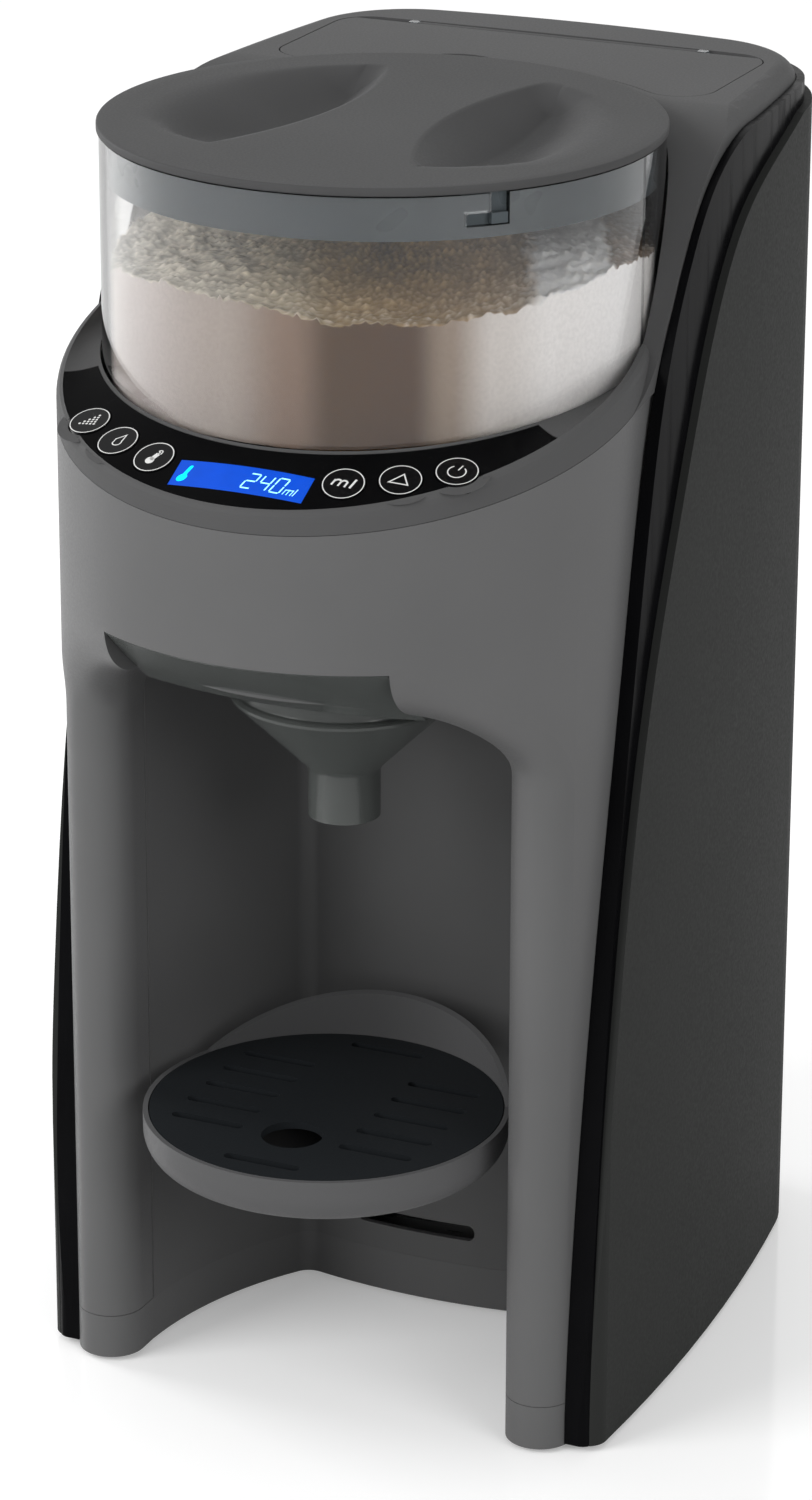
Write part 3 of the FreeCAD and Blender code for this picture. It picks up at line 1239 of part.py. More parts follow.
# ---------------------------------------------------------------- drip tray
def dripTray():
    body = newBody("tray_bowl")
    outer = s.trayRadius
    low = s.trayTop - s.trayHeight
    lip = outer - s.trayRim
    ledge = s.trayTop - s.grilleThick - s.seatGap
    inside = lip - s.trayLedge
    bend = s.trayRound - s.trayFloor
    turned(body, [(0, low, 0), (outer - s.trayRound, low, s.trayRound), (outer, low + s.trayRound, 0),
                  (outer, s.trayTop, 0), (lip, s.trayTop, 0), (lip, ledge, 0), (inside, ledge, 0),
                  (inside, low + s.trayFloor + bend, 0), (inside - bend, low + s.trayFloor, 0),
                  (0, low + s.trayFloor, 0)])
    place(body, 0, s.trayY, 0)
    rise = 60
    slope = newBody("fence_slope")
    sketch = sketchOn(slope, "YZ_Plane")
    loop(sketch, [(s.fenceStartY, s.trayTop - 0.5, 0), (s.fenceStartY + rise, s.trayTop - 0.5, 0),
                  (s.fenceStartY + rise, s.trayTop + s.fenceSlope * rise, 0),
                  (s.fenceStartY, s.trayTop, 0)])
    feature(slope, "Pad", sketch, 200, both=True)
    wall = tube("fence_ring", outer, lip, s.trayTop - 0.5, s.trayTop + 40, 0, s.trayY)
    slotTop = s.upperSlotZ + s.traySlotHeight / 2 - s.fitGap
    half = s.traySlotHalf - s.fitGap * 2
    tongue = box("tray_tongue", (-half, half), (s.trayY + s.trayRadius - s.trayRim, s.bayCornerY),
                 (slotTop - s.traySlotHeight + s.fitGap * 2, slotTop))
    return fuse("drip_tray", [body, common("tray_fence", [wall, slope]), tongue])


def trayGrille():
    radius = s.trayRadius - s.trayRim - s.fitGap
    disc = cylinder("grille_disc", radius, s.grilleThick, 0, s.trayY, s.trayTop - s.grilleThick)
    tools = [cylinder("finger_hole", s.fingerRadius, 20, 0, s.trayY - s.fingerSet, s.trayTop - 10)]
    for row in range(-2, 3):
        for side in (-1, 1):
            reach = (s.slotNear, s.slotFar if abs(row) < 2 else s.slotFar - 1)
            span = (side * reach[0], side * reach[1]) if side > 0 else (side * reach[1], side * reach[0])
            tools += slotTools("slot_%d_%d" % (row, side), span, s.trayY + row * s.slotPitch)
    for row in (-1, 1):
        tools += slotTools("slot_end_%d" % row, (-s.slotNear * 0.6, s.slotNear * 0.6),
                           s.trayY + row * s.slotPitch * 3.6)
    return cut("tray_grille", disc, tools)


def slotTools(label, span, y):
    half = s.slotWidth / 2
    low = s.trayTop - 10
    return [box(label, span, (y - half, y + half), (low, low + 20)),
            cylinder(label + "_a", half, 20, span[0], y, low),
            cylinder(label + "_b", half, 20, span[1], y, low)]


node(dripTray(), "drip_tray")
node(trayGrille(), "tray_grille")


# ---------------------------------------------------------------- water tank
def across(label, radius, first, last, y, z):
    """A round bar along X."""
    turn = FreeCAD.Rotation(FreeCAD.Vector(0, 1, 0), 90)
    return cylinder(label, radius, last - first, first, y, z, turn)


def rearward(label, radius, first, last, x, z):
    """A round bar along Y."""
    turn = FreeCAD.Rotation(FreeCAD.Vector(1, 0, 0), -90)
    return cylinder(label, radius, last - first, x, first, z, turn)


def blocks(label, spans):
    return [box("%s_%d" % (label, count), *span) for count, span in enumerate(spans)]


brimBottom = s.deckTop - s.tankLidThick + s.seatGap
brimTop = brimBottom + s.brimThick
lidBottom = brimTop + s.seatGap
hingeZ = lidBottom + s.barrelRadius
brimGrow = s.tankLidLedge - s.seatGap * 2
cradleTop = s.tankBottom - s.seatGap
nozzleEnd = s.tankBottom - s.tankNozzle
socketFloor = nozzleEnd - 1


def waterTank():
    shell = slab("tank_walls", tankOutline(s.tankGap), s.tankBottom, brimTop, [(s.tankRound, upright)])
    brim = slab("tank_brim", tankOutline(-brimGrow), brimBottom, brimTop,
                [(s.tankRound + brimGrow, upright)])
    room = slab("tank_room", tankOutline(s.tankGap + s.tankWall), s.tankBottom + s.tankWall, s.deckTop,
                [(s.tankRound - s.tankWall, upright)])
    nozzle = cylinder("tank_nozzle", s.nozzleTank, s.tankNozzle + 1, s.tankOutletX, s.tankOutletY, nozzleEnd)
    bore = cylinder("tank_nozzle_bore", s.nozzleTank - s.tankWall, 20, s.tankOutletX, s.tankOutletY,
                    nozzleEnd - 5)
    lugs = []
    for side in (-1, 1):
        near = s.barrelHalf + s.fitGap
        span = (side * near, side * (near + s.lugWidth)) if side > 0 else (side * (near + s.lugWidth),
                                                                         side * near)
        lugs.append(box("tank_lug_%d" % side, span, (s.hingeY - s.barrelRadius, s.hingeY + s.barrelRadius),
                        (brimTop - 0.5, lidBottom + s.barrelRadius * 2)))
    pinHole = across("tank_pin_hole", s.pinRadius, -s.tankHalf, s.tankHalf, s.hingeY, hingeZ)
    return cut("water_tank", fuse("tank_blank", [shell, brim, nozzle] + lugs), [room, bore, pinHole])


def tankLid():
    plate = slab("tank_lid_plate", tankOutline(-brimGrow), lidBottom, s.deckTop - 0.05,
                 [(s.tankRound + brimGrow, upright)])
    wide = s.tankHalf + brimGrow + 1
    tools = [box("lid_rear_trim", (-wide, wide), (s.hingeY - s.barrelRadius * 1.5, s.tankSideY + 30),
                 (s.deckTop - 20, s.deckTop + 20)),
             cylinder("thumb_notch", s.notchRadius, 40, s.notchX, s.notchY, s.deckTop - 20)]
    tongue = box("lid_tongue", (-s.barrelHalf, s.barrelHalf), (s.hingeY - s.barrelRadius * 2, s.hingeY),
                 (lidBottom, lidBottom + s.barrelRadius * 1.6))
    barrel = across("lid_barrel", s.barrelRadius, -s.barrelHalf, s.barrelHalf, s.hingeY, hingeZ)
    bore = across("lid_bore", s.pinRadius + s.seatGap, -s.barrelHalf - 1, s.barrelHalf + 1, s.hingeY, hingeZ)
    blank = fuse("tank_lid_blank", [cut("tank_lid_cut", plate, tools), tongue, barrel])
    return cut("tank_lid", blank, [bore])


def tankCradle():
    grow = s.cradleGrow
    plate = slab("cradle_plate", tankOutline(-grow), cradleTop - s.cradleThick, cradleTop,
                 [(s.tankRound + grow, upright)])
    legs = blocks("cradle_leg", [((side * s.cradleLegX - 4, side * s.cradleLegX + 4),
                                  (s.tankOutletY - 9, s.tankOutletY + 9),
                                  (baseFloor, cradleTop - 2)) for side in (-1, 1)])
    well = cylinder("cradle_cup", s.nozzleTank + s.sealWidth + 3, cradleTop - socketFloor + 2, s.tankOutletX,
                    s.tankOutletY, socketFloor - 2)
    barb = cylinder("cradle_barb", s.hoseBore - 0.1, s.barbReach + 1, s.tankOutletX, s.tankOutletY,
                    socketFloor - 2 - s.barbReach)
    socket = cylinder("cradle_socket", s.nozzleTank + s.sealWidth, 20, s.tankOutletX, s.tankOutletY,
                      socketFloor)
    drain = cylinder("cradle_drain", s.hoseBore - 1, 40, s.tankOutletX, s.tankOutletY, socketFloor - 30)
    bridge = box("cradle_bridge", (s.tankOutletX - 6, s.tankOutletX + 6),
                 (s.tankOutletY - 1, s.tankOutletY + 1), (socketFloor - 1, socketFloor))
    pin = cylinder("cradle_pin", s.valvePin, s.pinHeight + 1, s.tankOutletX, s.tankOutletY, socketFloor - 1)
    hollowed = cut("cradle_hollow", fuse("cradle_blank", [plate, well, barb] + legs), [socket, drain])
    return fuse("tank_cradle", [hollowed, bridge, pin])


baseFloor = s.footHeight + s.baseWall + s.seatGap
node(waterTank(), "water_tank")
node(tankLid(), "tank_lid")
node(across("tank_hinge_wire", s.pinRadius, -s.barrelHalf - s.lugWidth, s.barrelHalf + s.lugWidth, s.hingeY,
            hingeZ), "tank_hinge_pin")
node(tankCradle(), "tank_cradle")
node(tube("tank_seal_ring", s.nozzleTank + s.sealWidth, s.nozzleTank + s.seatGap / 2, socketFloor + 0.5,
          socketFloor + 3.5, s.tankOutletX, s.tankOutletY), "tank_seal")
node(fuse("tank_valve", [cylinder("valve_disc", s.nozzleTank - s.tankWall + 2, s.valveThick, s.tankOutletX,
                                  s.tankOutletY, s.tankBottom + s.tankWall + s.seatGap / 2),
                         cylinder("valve_stem", s.valvePin, s.tankBottom + s.tankWall - socketFloor
                                  - s.pinHeight, s.tankOutletX, s.tankOutletY,
                                  socketFloor + s.pinHeight + s.seatGap)]), "tank_valve")


# ---------------------------------------------------------------- water works and electrics
def hose(label, points):
    """Straight runs joined by tangent quarter bends, swept as a tube."""
    corners = [FreeCAD.Vector(num(x), num(y), num(z)) for x, y, z in points]
    bend = num(s.hoseBend)
    start = corners[0]
    edges = []
    for before, corner, after in zip(corners, corners[1:], corners[2:]):
        back = (before - corner).normalize()
        ahead = (after - corner).normalize()
        centre = corner + (back + ahead) * bend
        middle = centre + (corner - centre).normalize() * bend
        first, last = corner + back * bend, corner + ahead * bend
        edges += [Part.makeLine(start, first), Part.Arc(first, middle, last).toShape()]
        start = last
    edges.append(Part.makeLine(start, corners[-1]))
    spine = Part.Wire(edges)
    runs = [spine.makePipeShell([Part.Wire(Part.makeCircle(radius, corners[0], corners[1] - corners[0]))],
                                True, True) for radius in (num(s.hoseBore + s.hoseWall), num(s.hoseBore))]
    thing = doc.addObject("Part::Feature", "Step_" + label)
    thing.Shape = runs[0].cut(runs[1])
    thing.Label = label
    return thing


chassisBack = s.chassisY + s.chassisThick
seatOn = chassisBack + s.seatGap / 2
pumpZ = baseFloor + 3 + s.pumpRadius
pumpRear = s.pumpY + s.pumpRadius
barbTop = socketFloor - 2
hoseTop = s.archTop + s.ceilingWall + s.hoseBore + s.hoseWall + 1
heaterBottom = hoseTop + s.hoseBore + s.hoseWall - s.heaterHeight
spoutTop = hoseTop + s.spoutRadius

node(fuse("chassis_plate", blocks("chassis", [
    ((-s.chassisHalf, s.chassisHalf), (s.chassisY, chassisBack), (baseFloor, s.chassisTop)),
    ((s.heaterX - s.heaterRadius, s.chassisHalf), (s.chassisY, chassisBack),
     (s.chassisTop - 1, heaterBottom + 54)),
    ((-s.chassisHalf, s.chassisHalf), (s.chassisY, s.chassisY + 12), (baseFloor, baseFloor + 2.5))])),
     "chassis_plate")
node(fuse("power_supply", blocks("supply", [
    ((-s.supplyX - s.supplyWide, -s.supplyX), (seatOn, seatOn + s.supplyDeep),
     (baseFloor + 10, baseFloor + 68)),
    ((-s.supplyX - s.supplyWide + 6, -s.supplyX - 6), (seatOn + s.supplyDeep - 1, seatOn + s.supplyDeep + 5),
     (baseFloor + 20, baseFloor + 34))])), "power_supply")
node(fuse("main_board", blocks("board", [
    ((-s.boardX - s.boardWide, -s.boardX), (seatOn + s.boardPost, seatOn + s.boardPost + s.boardThick),
     (s.boardBottom, s.boardBottom + s.boardHigh))] + [
    ((-x - 2, -x + 2), (seatOn, seatOn + s.boardPost + 0.5), (z - 2, z + 2))
    for x in (s.boardX + 4, s.boardX + s.boardWide - 4)
    for z in (s.boardBottom + 4, s.boardBottom + s.boardHigh - 4)] + [
    ((-s.boardX - 34, -s.boardX - 16), (seatOn + s.boardPost + 1, seatOn + s.boardPost + 5),
     (s.boardBottom + 34, s.boardBottom + 52)),
    ((-s.boardX - 54, -s.boardX - 40), (seatOn + s.boardPost + 1, seatOn + s.boardPost + 12),
     (s.boardBottom + 10, s.boardBottom + 24)),
    ((-s.boardX - 30, -s.boardX - 8), (seatOn + s.boardPost + 1, seatOn + s.boardPost + 9),
     (s.boardBottom + 62, s.boardBottom + 70))])), "main_board")
node(cut("water_pump", fuse("pump_blank", [
    across("pump_can", s.pumpRadius, s.pumpX, s.pumpX + s.pumpLong, s.pumpY, pumpZ),
    box("pump_foot", (s.pumpX + 4, s.pumpX + s.pumpLong - 4), (s.pumpY - 10, s.pumpY + 10),
        (baseFloor, pumpZ - s.pumpRadius + 3)),
    cylinder("pump_outlet", s.hoseBore - 0.1, s.pumpRadius + s.barbReach + 4, s.heaterX, s.heaterY, pumpZ),
    rearward("pump_inlet", s.hoseBore - 0.1, s.pumpY, pumpRear + s.barbReach + 2, s.tankOutletX, pumpZ)]),
    [cylinder("pump_outlet_bore", s.hoseBore - 1, 60, s.heaterX, s.heaterY, pumpZ),
     rearward("pump_inlet_bore", s.hoseBore - 1, s.pumpY, s.pumpY + 60, s.tankOutletX, pumpZ)]),
     "water_pump")
node(cut("water_heater", fuse("heater_blank", [
    cylinder("heater_can", s.heaterRadius, s.heaterHeight, s.heaterX, s.heaterY, heaterBottom),
    box("heater_foot", (s.heaterX - 9, s.heaterX + 9), (seatOn, s.heaterY), (heaterBottom + 8,
                                                                          heaterBottom + 50)),
    cylinder("heater_inlet", s.hoseBore - 0.1, s.barbReach + 1, s.heaterX, s.heaterY,
             heaterBottom - s.barbReach),
    rearward("heater_outlet", s.hoseBore - 0.1, s.heaterY - s.heaterRadius - s.barbReach, s.heaterY,
             s.heaterX, hoseTop)]),
    [cylinder("heater_bore", s.hoseBore - 1, hoseTop - heaterBottom + 30, s.heaterX, s.heaterY,
              heaterBottom - 30),
     rearward("heater_outlet_bore", s.hoseBore - 1, s.heaterY - s.heaterRadius - 30, s.heaterY, s.heaterX,
              hoseTop)]), "water_heater")
node(hose("suction_hose", [(s.tankOutletX, s.tankOutletY, barbTop - s.seatGap),
                           (s.tankOutletX, s.tankOutletY, pumpZ),
                           (s.tankOutletX, pumpRear + s.seatGap, pumpZ)]), "suction_hose")
node(hose("pressure_hose", [(s.heaterX, s.heaterY, pumpZ + s.pumpRadius + s.seatGap),
                            (s.heaterX, s.heaterY, heaterBottom - s.seatGap)]), "pressure_hose")
node(hose("outlet_hose", [(s.heaterX, s.heaterY - s.heaterRadius - s.seatGap, hoseTop),
                          (s.heaterX, s.spoutY, hoseTop),
                          (s.spoutX + s.spoutRadius + s.seatGap, s.spoutY, hoseTop)]), "outlet_hose")
node(cut("water_spout", fuse("spout_blank", [
    cylinder("spout_tube", s.spoutRadius, spoutTop - s.funnelPlateTop - 1, s.spoutX, s.spoutY,
             s.funnelPlateTop + 1),
    cylinder("spout_flange", s.spoutRadius + 2.5, 0.8, s.spoutX, s.spoutY,
             s.archTop + s.ceilingWall + s.seatGap / 2),
    across("spout_barb", s.hoseBore - 0.1, s.spoutX, s.spoutX + s.spoutRadius + s.barbReach, s.spoutY,
           hoseTop)]),
    [cylinder("spout_bore", s.spoutRadius - 1.5, hoseTop - s.funnelPlateTop, s.spoutX, s.spoutY,
              s.funnelPlateTop),
     across("spout_side_bore", s.hoseBore - 1, s.spoutX, s.spoutX + 30, s.spoutY, hoseTop)]), "water_spout")
glandFace = rearY(s.casingWall)
node(cut("cord_gland", fuse("gland_blank", [
    rearward("gland_body", s.glandRadius, glandFace - 8, glandFace + s.casingWall + s.glandProud, s.glandX,
             s.glandZ),
    rearward("gland_nut", s.glandRadius + 3, glandFace - 4.5, glandFace - 1, s.glandX, s.glandZ)]),
    [rearward("gland_bore", s.glandRadius - 2.5, glandFace - 20, glandFace + 20, s.glandX, s.glandZ)]),
     "cord_gland")


# ---------------------------------------------------------------- check and write
doc.recompute()
for thing in doc.Objects:
    if "Invalid" in thing.State or "Error" in thing.State:
        raise ValueError("failed: %s %s" % (thing.Label, thing.State))
for thing in nodes:
    if thing.Shape.isNull() or not thing.Shape.isValid() or not thing.Shape.Solids:
        raise ValueError("bad shape: " + thing.Label)
os.makedirs("parts", exist_ok=True)
for thing in nodes:
    thing.Shape.exportStep("parts/%s.step" % thing.Label)
print(len(nodes), "nodes written")
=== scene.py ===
# Baby formula maker: finishes, lid, funnel, signs, display, powder and studio around the solids.
import bmesh
import bpy
import json
import math
import numpy
from mathutils import Matrix, Vector, noise
from mathutils.bvhtree import BVHTree
from mathutils.geometry import tessellate_polygon


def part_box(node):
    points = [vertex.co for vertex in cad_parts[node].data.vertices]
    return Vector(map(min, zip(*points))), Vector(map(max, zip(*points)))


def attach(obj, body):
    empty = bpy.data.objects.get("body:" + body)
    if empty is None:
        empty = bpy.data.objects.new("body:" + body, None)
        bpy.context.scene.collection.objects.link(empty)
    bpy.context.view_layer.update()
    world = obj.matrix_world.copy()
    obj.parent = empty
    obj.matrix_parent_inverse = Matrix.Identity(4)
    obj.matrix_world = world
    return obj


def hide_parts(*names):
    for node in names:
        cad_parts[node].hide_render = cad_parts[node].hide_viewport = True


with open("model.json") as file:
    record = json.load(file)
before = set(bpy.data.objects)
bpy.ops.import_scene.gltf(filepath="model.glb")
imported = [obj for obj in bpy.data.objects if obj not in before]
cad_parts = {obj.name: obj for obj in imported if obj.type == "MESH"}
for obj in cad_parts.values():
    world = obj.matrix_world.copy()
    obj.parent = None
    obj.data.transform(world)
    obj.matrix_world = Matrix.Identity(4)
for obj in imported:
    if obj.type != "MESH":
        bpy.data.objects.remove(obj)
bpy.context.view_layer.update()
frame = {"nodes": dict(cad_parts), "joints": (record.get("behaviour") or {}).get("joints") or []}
nodes = frame["nodes"]
print("frame loaded:", len(nodes), "nodes")


# finishes: one small recipe for each kind of plastic, rubber and metal
def startFinish(name):
    finish = bpy.data.materials.new(name)
    finish.use_nodes = True
    tree = finish.node_tree
    tree.nodes.clear()
    shader = tree.nodes.new("ShaderNodeBsdfPrincipled")
    output = tree.nodes.new("ShaderNodeOutputMaterial")
    tree.links.new(shader.outputs[0], output.inputs[0])
    place = tree.nodes.new("ShaderNodeTexCoord")
    return finish, tree, shader, place.outputs["Object"]


def addNoise(tree, where, scale, detail=3, stretch=None):
    grain = tree.nodes.new("ShaderNodeTexNoise")
    grain.inputs["Scale"].default_value = scale
    grain.inputs["Detail"].default_value = detail
    if stretch:
        mapping = tree.nodes.new("ShaderNodeMapping")
        mapping.inputs["Scale"].default_value = stretch
        tree.links.new(where, mapping.inputs[0])
        where = mapping.outputs[0]
    tree.links.new(where, grain.inputs["Vector"])
    return grain.outputs[0]


def addRamp(tree, factor, stops):
    ramp = tree.nodes.new("ShaderNodeValToRGB")
    points = ramp.color_ramp.elements
    points.remove(points[1])
    points[0].position = stops[0][0]
    for spot, colour in stops[1:]:
        points.new(spot)
    for point, (spot, colour) in zip(points, stops):
        point.color = (*colour, 1) if isinstance(colour, tuple) else (colour, colour, colour, 1)
    tree.links.new(factor, ramp.inputs[0])
    return ramp.outputs[0]


def addRange(tree, factor, first, last, span=(0.3, 0.7)):
    # a ramp of two stops
    return addRamp(tree, factor, list(zip(span, (first, last))))


def addBump(tree, shader, height, strength, depth):
    bump = tree.nodes.new("ShaderNodeBump")
    bump.inputs["Strength"].default_value = strength
    bump.inputs["Distance"].default_value = depth
    tree.links.new(height, bump.inputs["Height"])
    tree.links.new(bump.outputs[0], shader.inputs["Normal"])


def addMix(tree, blend, first, second):
    mix = tree.nodes.new("ShaderNodeMix")
    mix.data_type = "RGBA"
    mix.blend_type = blend
    mix.inputs["Factor"].default_value = 1.0
    tree.links.new(first, mix.inputs["A"])
    tree.links.new(second, mix.inputs["B"])
    return mix.outputs["Result"]


def shade(colour, factor):
    # a colour made lighter or darker
    return tuple(min(1, part * factor) for part in colour)


def mouldedPlastic(name, colour, rough, grain=1400, bumpDepth=0.00003, spread=0.05, gloss=0.4):
    # injection moulded plastic: fine spark grain, slow drift of tone and of sheen
    finish, tree, shader, where = startFinish(name)
    drift = addNoise(tree, where, scale=14, detail=4)
    tone = addRange(tree, drift, shade(colour, 1 - spread), shade(colour, 1 + spread))
    tree.links.new(tone, shader.inputs["Base Color"])
    fine = addNoise(tree, where, scale=grain, detail=2)
    sheen = addRange(tree, fine, rough * 0.88, min(1, rough * 1.12))
    tree.links.new(sheen, shader.inputs["Roughness"])
    addBump(tree, shader, fine, strength=0.35, depth=bumpDepth)
    shader.inputs["Specular IOR Level"].default_value = gloss
    return finish


def glossBlack(name, colour, rough=0.07, gloss=0.35):
    # polished black moulding with hairline polishing marks
    finish, tree, shader, where = startFinish(name)
    swirl = addNoise(tree, where, scale=30, detail=5)
    tone = addRange(tree, swirl, shade(colour, 0.8), shade(colour, 1.2))
    tree.links.new(tone, shader.inputs["Base Color"])
    marks = addNoise(tree, where, scale=260, detail=6, stretch=(1, 1, 0.08))
    sheen = addRange(tree, marks, rough, rough * 1.9, (0.45, 0.75))
    tree.links.new(sheen, shader.inputs["Roughness"])
    shader.inputs["Specular IOR Level"].default_value = gloss
    return finish


def clearMoulding(name, colour, rough=0.03, clear=1.0, flow=22, edge=1.0, gloss=0.5):
    # transparent moulded plastic with faint flow lines and haze; an edge below 1 paints shade on its
    # edges where they are seen edge on
    finish, tree, shader, where = startFinish(name)
    lines = addNoise(tree, where, scale=flow, detail=3, stretch=(1, 1, 0.25))
    body = addRange(tree, lines, shade(colour, 0.985), shade(colour, 1.01), (0.35, 0.65))
    if edge < 1:
        # painted shade: the base colour darkens where the surface is seen edge on
        rim = tree.nodes.new("ShaderNodeLayerWeight")
        dark = addRange(tree, rim.outputs["Facing"], 1.0, edge, (0.7, 0.79))
        body = addMix(tree, "MULTIPLY", body, dark)
    tree.links.new(body, shader.inputs["Base Color"])
    haze = addNoise(tree, where, scale=40, detail=2)
    sheen = addRange(tree, haze, rough * 0.85, rough * 1.2, (0.35, 0.65))
    tree.links.new(sheen, shader.inputs["Roughness"])
    shader.inputs["Transmission Weight"].default_value = clear
    shader.inputs["IOR"].default_value = 1.45
    shader.inputs["Specular IOR Level"].default_value = gloss
    return finish


def softRubber(name, colour, rough=0.7):
    # rubber or silicone with a dull, slightly mottled skin
    finish, tree, shader, where = startFinish(name)
    skin = addNoise(tree, where, scale=500, detail=4)
    tone = addRange(tree, skin, shade(colour, 0.85), shade(colour, 1.15))
    tree.links.new(tone, shader.inputs["Base Color"])
    addBump(tree, shader, skin, strength=0.4, depth=0.0001)
    shader.inputs["Roughness"].default_value = rough
    return finish


def turnedMetal(name, colour, rough=0.3):
    # bare metal with level lines from its making
    finish, tree, shader, where = startFinish(name)
    lines = addNoise(tree, where, scale=220, detail=4, stretch=(0.06, 0.06, 1))
    tone = addRange(tree, lines, shade(colour, 0.85), shade(colour, 1.08))
    tree.links.new(tone, shader.inputs["Base Color"])
    sheen = addRange(tree, lines, rough * 0.75, rough * 1.25)
    tree.links.new(sheen, shader.inputs["Roughness"])
    addBump(tree, shader, lines, strength=0.2, depth=0.00004)
    shader.inputs["Metallic"].default_value = 1
    return finish


def litInk(name, colour, strength):
    # something that glows in its own colour
    finish, tree, shader, where = startFinish(name)
    shimmer = addNoise(tree, where, scale=160, detail=2)
    glow = addRange(tree, shimmer, shade(colour, 0.92), shade(colour, 1.05), (0.2, 0.8))
    tree.links.new(glow, shader.inputs["Base Color"])
    tree.links.new(glow, shader.inputs["Emission Color"])
    shader.inputs["Emission Strength"].default_value = strength
    shader.inputs["Roughness"].default_value = 0.25
    shader.inputs["Specular IOR Level"].default_value = 0.1
    return finish


buttons = [name for name in nodes if name.startswith("button_")]
finishPlan = {  # a recipe, its colour, its other values and the nodes that wear it
    "shellGrey": (mouldedPlastic, (0.11, 0.11, 0.111), {"rough": 0.42, "gloss": 0.2},
                  ["base_ring", "front_shell"]),
    "coverGrey": (mouldedPlastic, (0.084, 0.084, 0.085), {"rough": 0.5, "gloss": 0.04},
                  ["top_cover", "tank_lid"]),
    "lidGrey": (mouldedPlastic, (0.07, 0.07, 0.071), {"rough": 0.5, "gloss": 0.03}, ["lid_cap"]),
    "linerGrey": (mouldedPlastic, (0.1, 0.1, 0.101), {"rough": 0.42, "gloss": 0.2},
                  ["bay_liner", "container_seat", "powder_chute", "funnel_rails", "tank_cradle"]),
    "casingDark": (mouldedPlastic, (0.027, 0.028, 0.027),
                   {"rough": 0.5, "grain": 900, "bumpDepth": 0.00005, "gloss": 0.03}, ["rear_casing"]),
    "trimBlack": (glossBlack, (0.0035, 0.0035, 0.004), {"rough": 0.2, "gloss": 0.02}, ["trim_band"]),
    "panelBlack": (glossBlack, (0.0035, 0.0035, 0.0038), {"rough": 0.16, "gloss": 0.01},
                   ["control_panel"]),
    "keyBlack": (glossBlack, (0.004, 0.004, 0.0045), {"rough": 0.09, "gloss": 0.1}, buttons),
    "displayBlue": (litInk, (0.002, 0.045, 0.37), {"strength": 0.95}, ["display_module"]),
    "boardGreen": (mouldedPlastic, (0.02, 0.09, 0.04), {"rough": 0.5}, ["control_board", "main_board"]),
    "footRubber": (softRubber, (0.02, 0.02, 0.02), {}, ["rubber_feet"]),
    "domeRubber": (softRubber, (0.5, 0.5, 0.48), {}, ["key_domes"]),
    "sealSilicone": (softRubber, (0.5, 0.51, 0.52), {"rough": 0.55}, ["lid_seal", "tank_seal"]),
    "hoseSilicone": (softRubber, (0.6, 0.62, 0.63), {"rough": 0.45},
                     ["suction_hose", "pressure_hose", "outlet_hose"]),
    # the container's edge of 0.05 paints shade along its wall where it is seen edge on
    "containerClear": (clearMoulding, (0.98, 0.98, 0.98), {"edge": 0.05, "gloss": 0.02},
                       ["container_body"]),
    "lidBand": (clearMoulding, (0.08, 0.094, 0.102),
                {"rough": 0.3, "clear": 0.1, "flow": 4, "gloss": 0.06}, ["lid_skirt"]),
    "funnelSmoke": (clearMoulding, (0.13, 0.14, 0.135), {"rough": 0.2, "clear": 0.5, "gloss": 0.2},
                    ["funnel"]),
    "tankSmoke": (clearMoulding, (0.5, 0.54, 0.56), {"rough": 0.08, "clear": 0.9}, ["water_tank"]),
    "trayGrey": (mouldedPlastic, (0.092, 0.092, 0.094), {"rough": 0.45, "gloss": 0.1}, ["drip_tray"]),
    "grilleDark": (mouldedPlastic, (0.015, 0.017, 0.019), {"rough": 0.35, "gloss": 0.08},
                   ["tray_grille"]),
    "dosingWhite": (mouldedPlastic, (0.62, 0.62, 0.6), {"rough": 0.4},
                    ["dosing_base", "dosing_wheel", "dose_cover", "stirrer", "tank_valve",
                     "water_spout"]),
    "gearNylon": (mouldedPlastic, (0.68, 0.65, 0.56), {"rough": 0.45}, ["drive_gear", "motor_pinion"]),
    "plateSteel": (turnedMetal, (0.5, 0.5, 0.5), {},
                   ["gear_motor", "drive_plate", "chassis_plate", "tank_hinge_pin"]),
    "castAluminium": (turnedMetal, (0.62, 0.63, 0.64), {"rough": 0.45}, ["water_heater"]),
    "pumpBlack": (mouldedPlastic, (0.02, 0.02, 0.022), {"rough": 0.45}, ["water_pump", "cord_gland"]),
    "supplyGrey": (mouldedPlastic, (0.28, 0.29, 0.3), {"rough": 0.5}, ["power_supply"]),
}
finishes = {}
for finishName, (recipe, colour, values, wearers) in finishPlan.items():
    finishes[finishName] = recipe(finishName, colour, **values)
    for wearer in wearers:
        slots = nodes[wearer].data.materials
        slots.clear()
        slots.append(finishes[finishName])
print("finishes on the carried-over nodes:", sum(len(row[3]) for row in finishPlan.values()))


# small helpers that make meshes
def turnsOf(steps):
    # the angles of even steps round a circle
    return [2 * math.pi * step / steps for step in range(steps)]


def ringFaces(rings, steps):
    # the faces between rings of points that follow each other
    return [(a + i, a + (i + 1) % steps, a + steps + (i + 1) % steps, a + steps + i)
            for a in range(0, (rings - 1) * steps, steps) for i in range(steps)]


def eased(share):
    # a smooth step between 0 and 1
    share = min(1, max(0, share))
    return share * share * (3 - 2 * share)


def meshPiece(name, points, faces, finish, body, smooth=False):
    mesh = bpy.data.meshes.new(name)
    mesh.from_pydata([tuple(point) for point in points], [], faces)
    mesh.validate()
    if smooth:
        mesh.shade_smooth()
    thing = bpy.data.objects.new(name, mesh)
    bpy.context.scene.collection.objects.link(thing)
    mesh.materials.append(finish)
    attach(thing, body)
    return thing


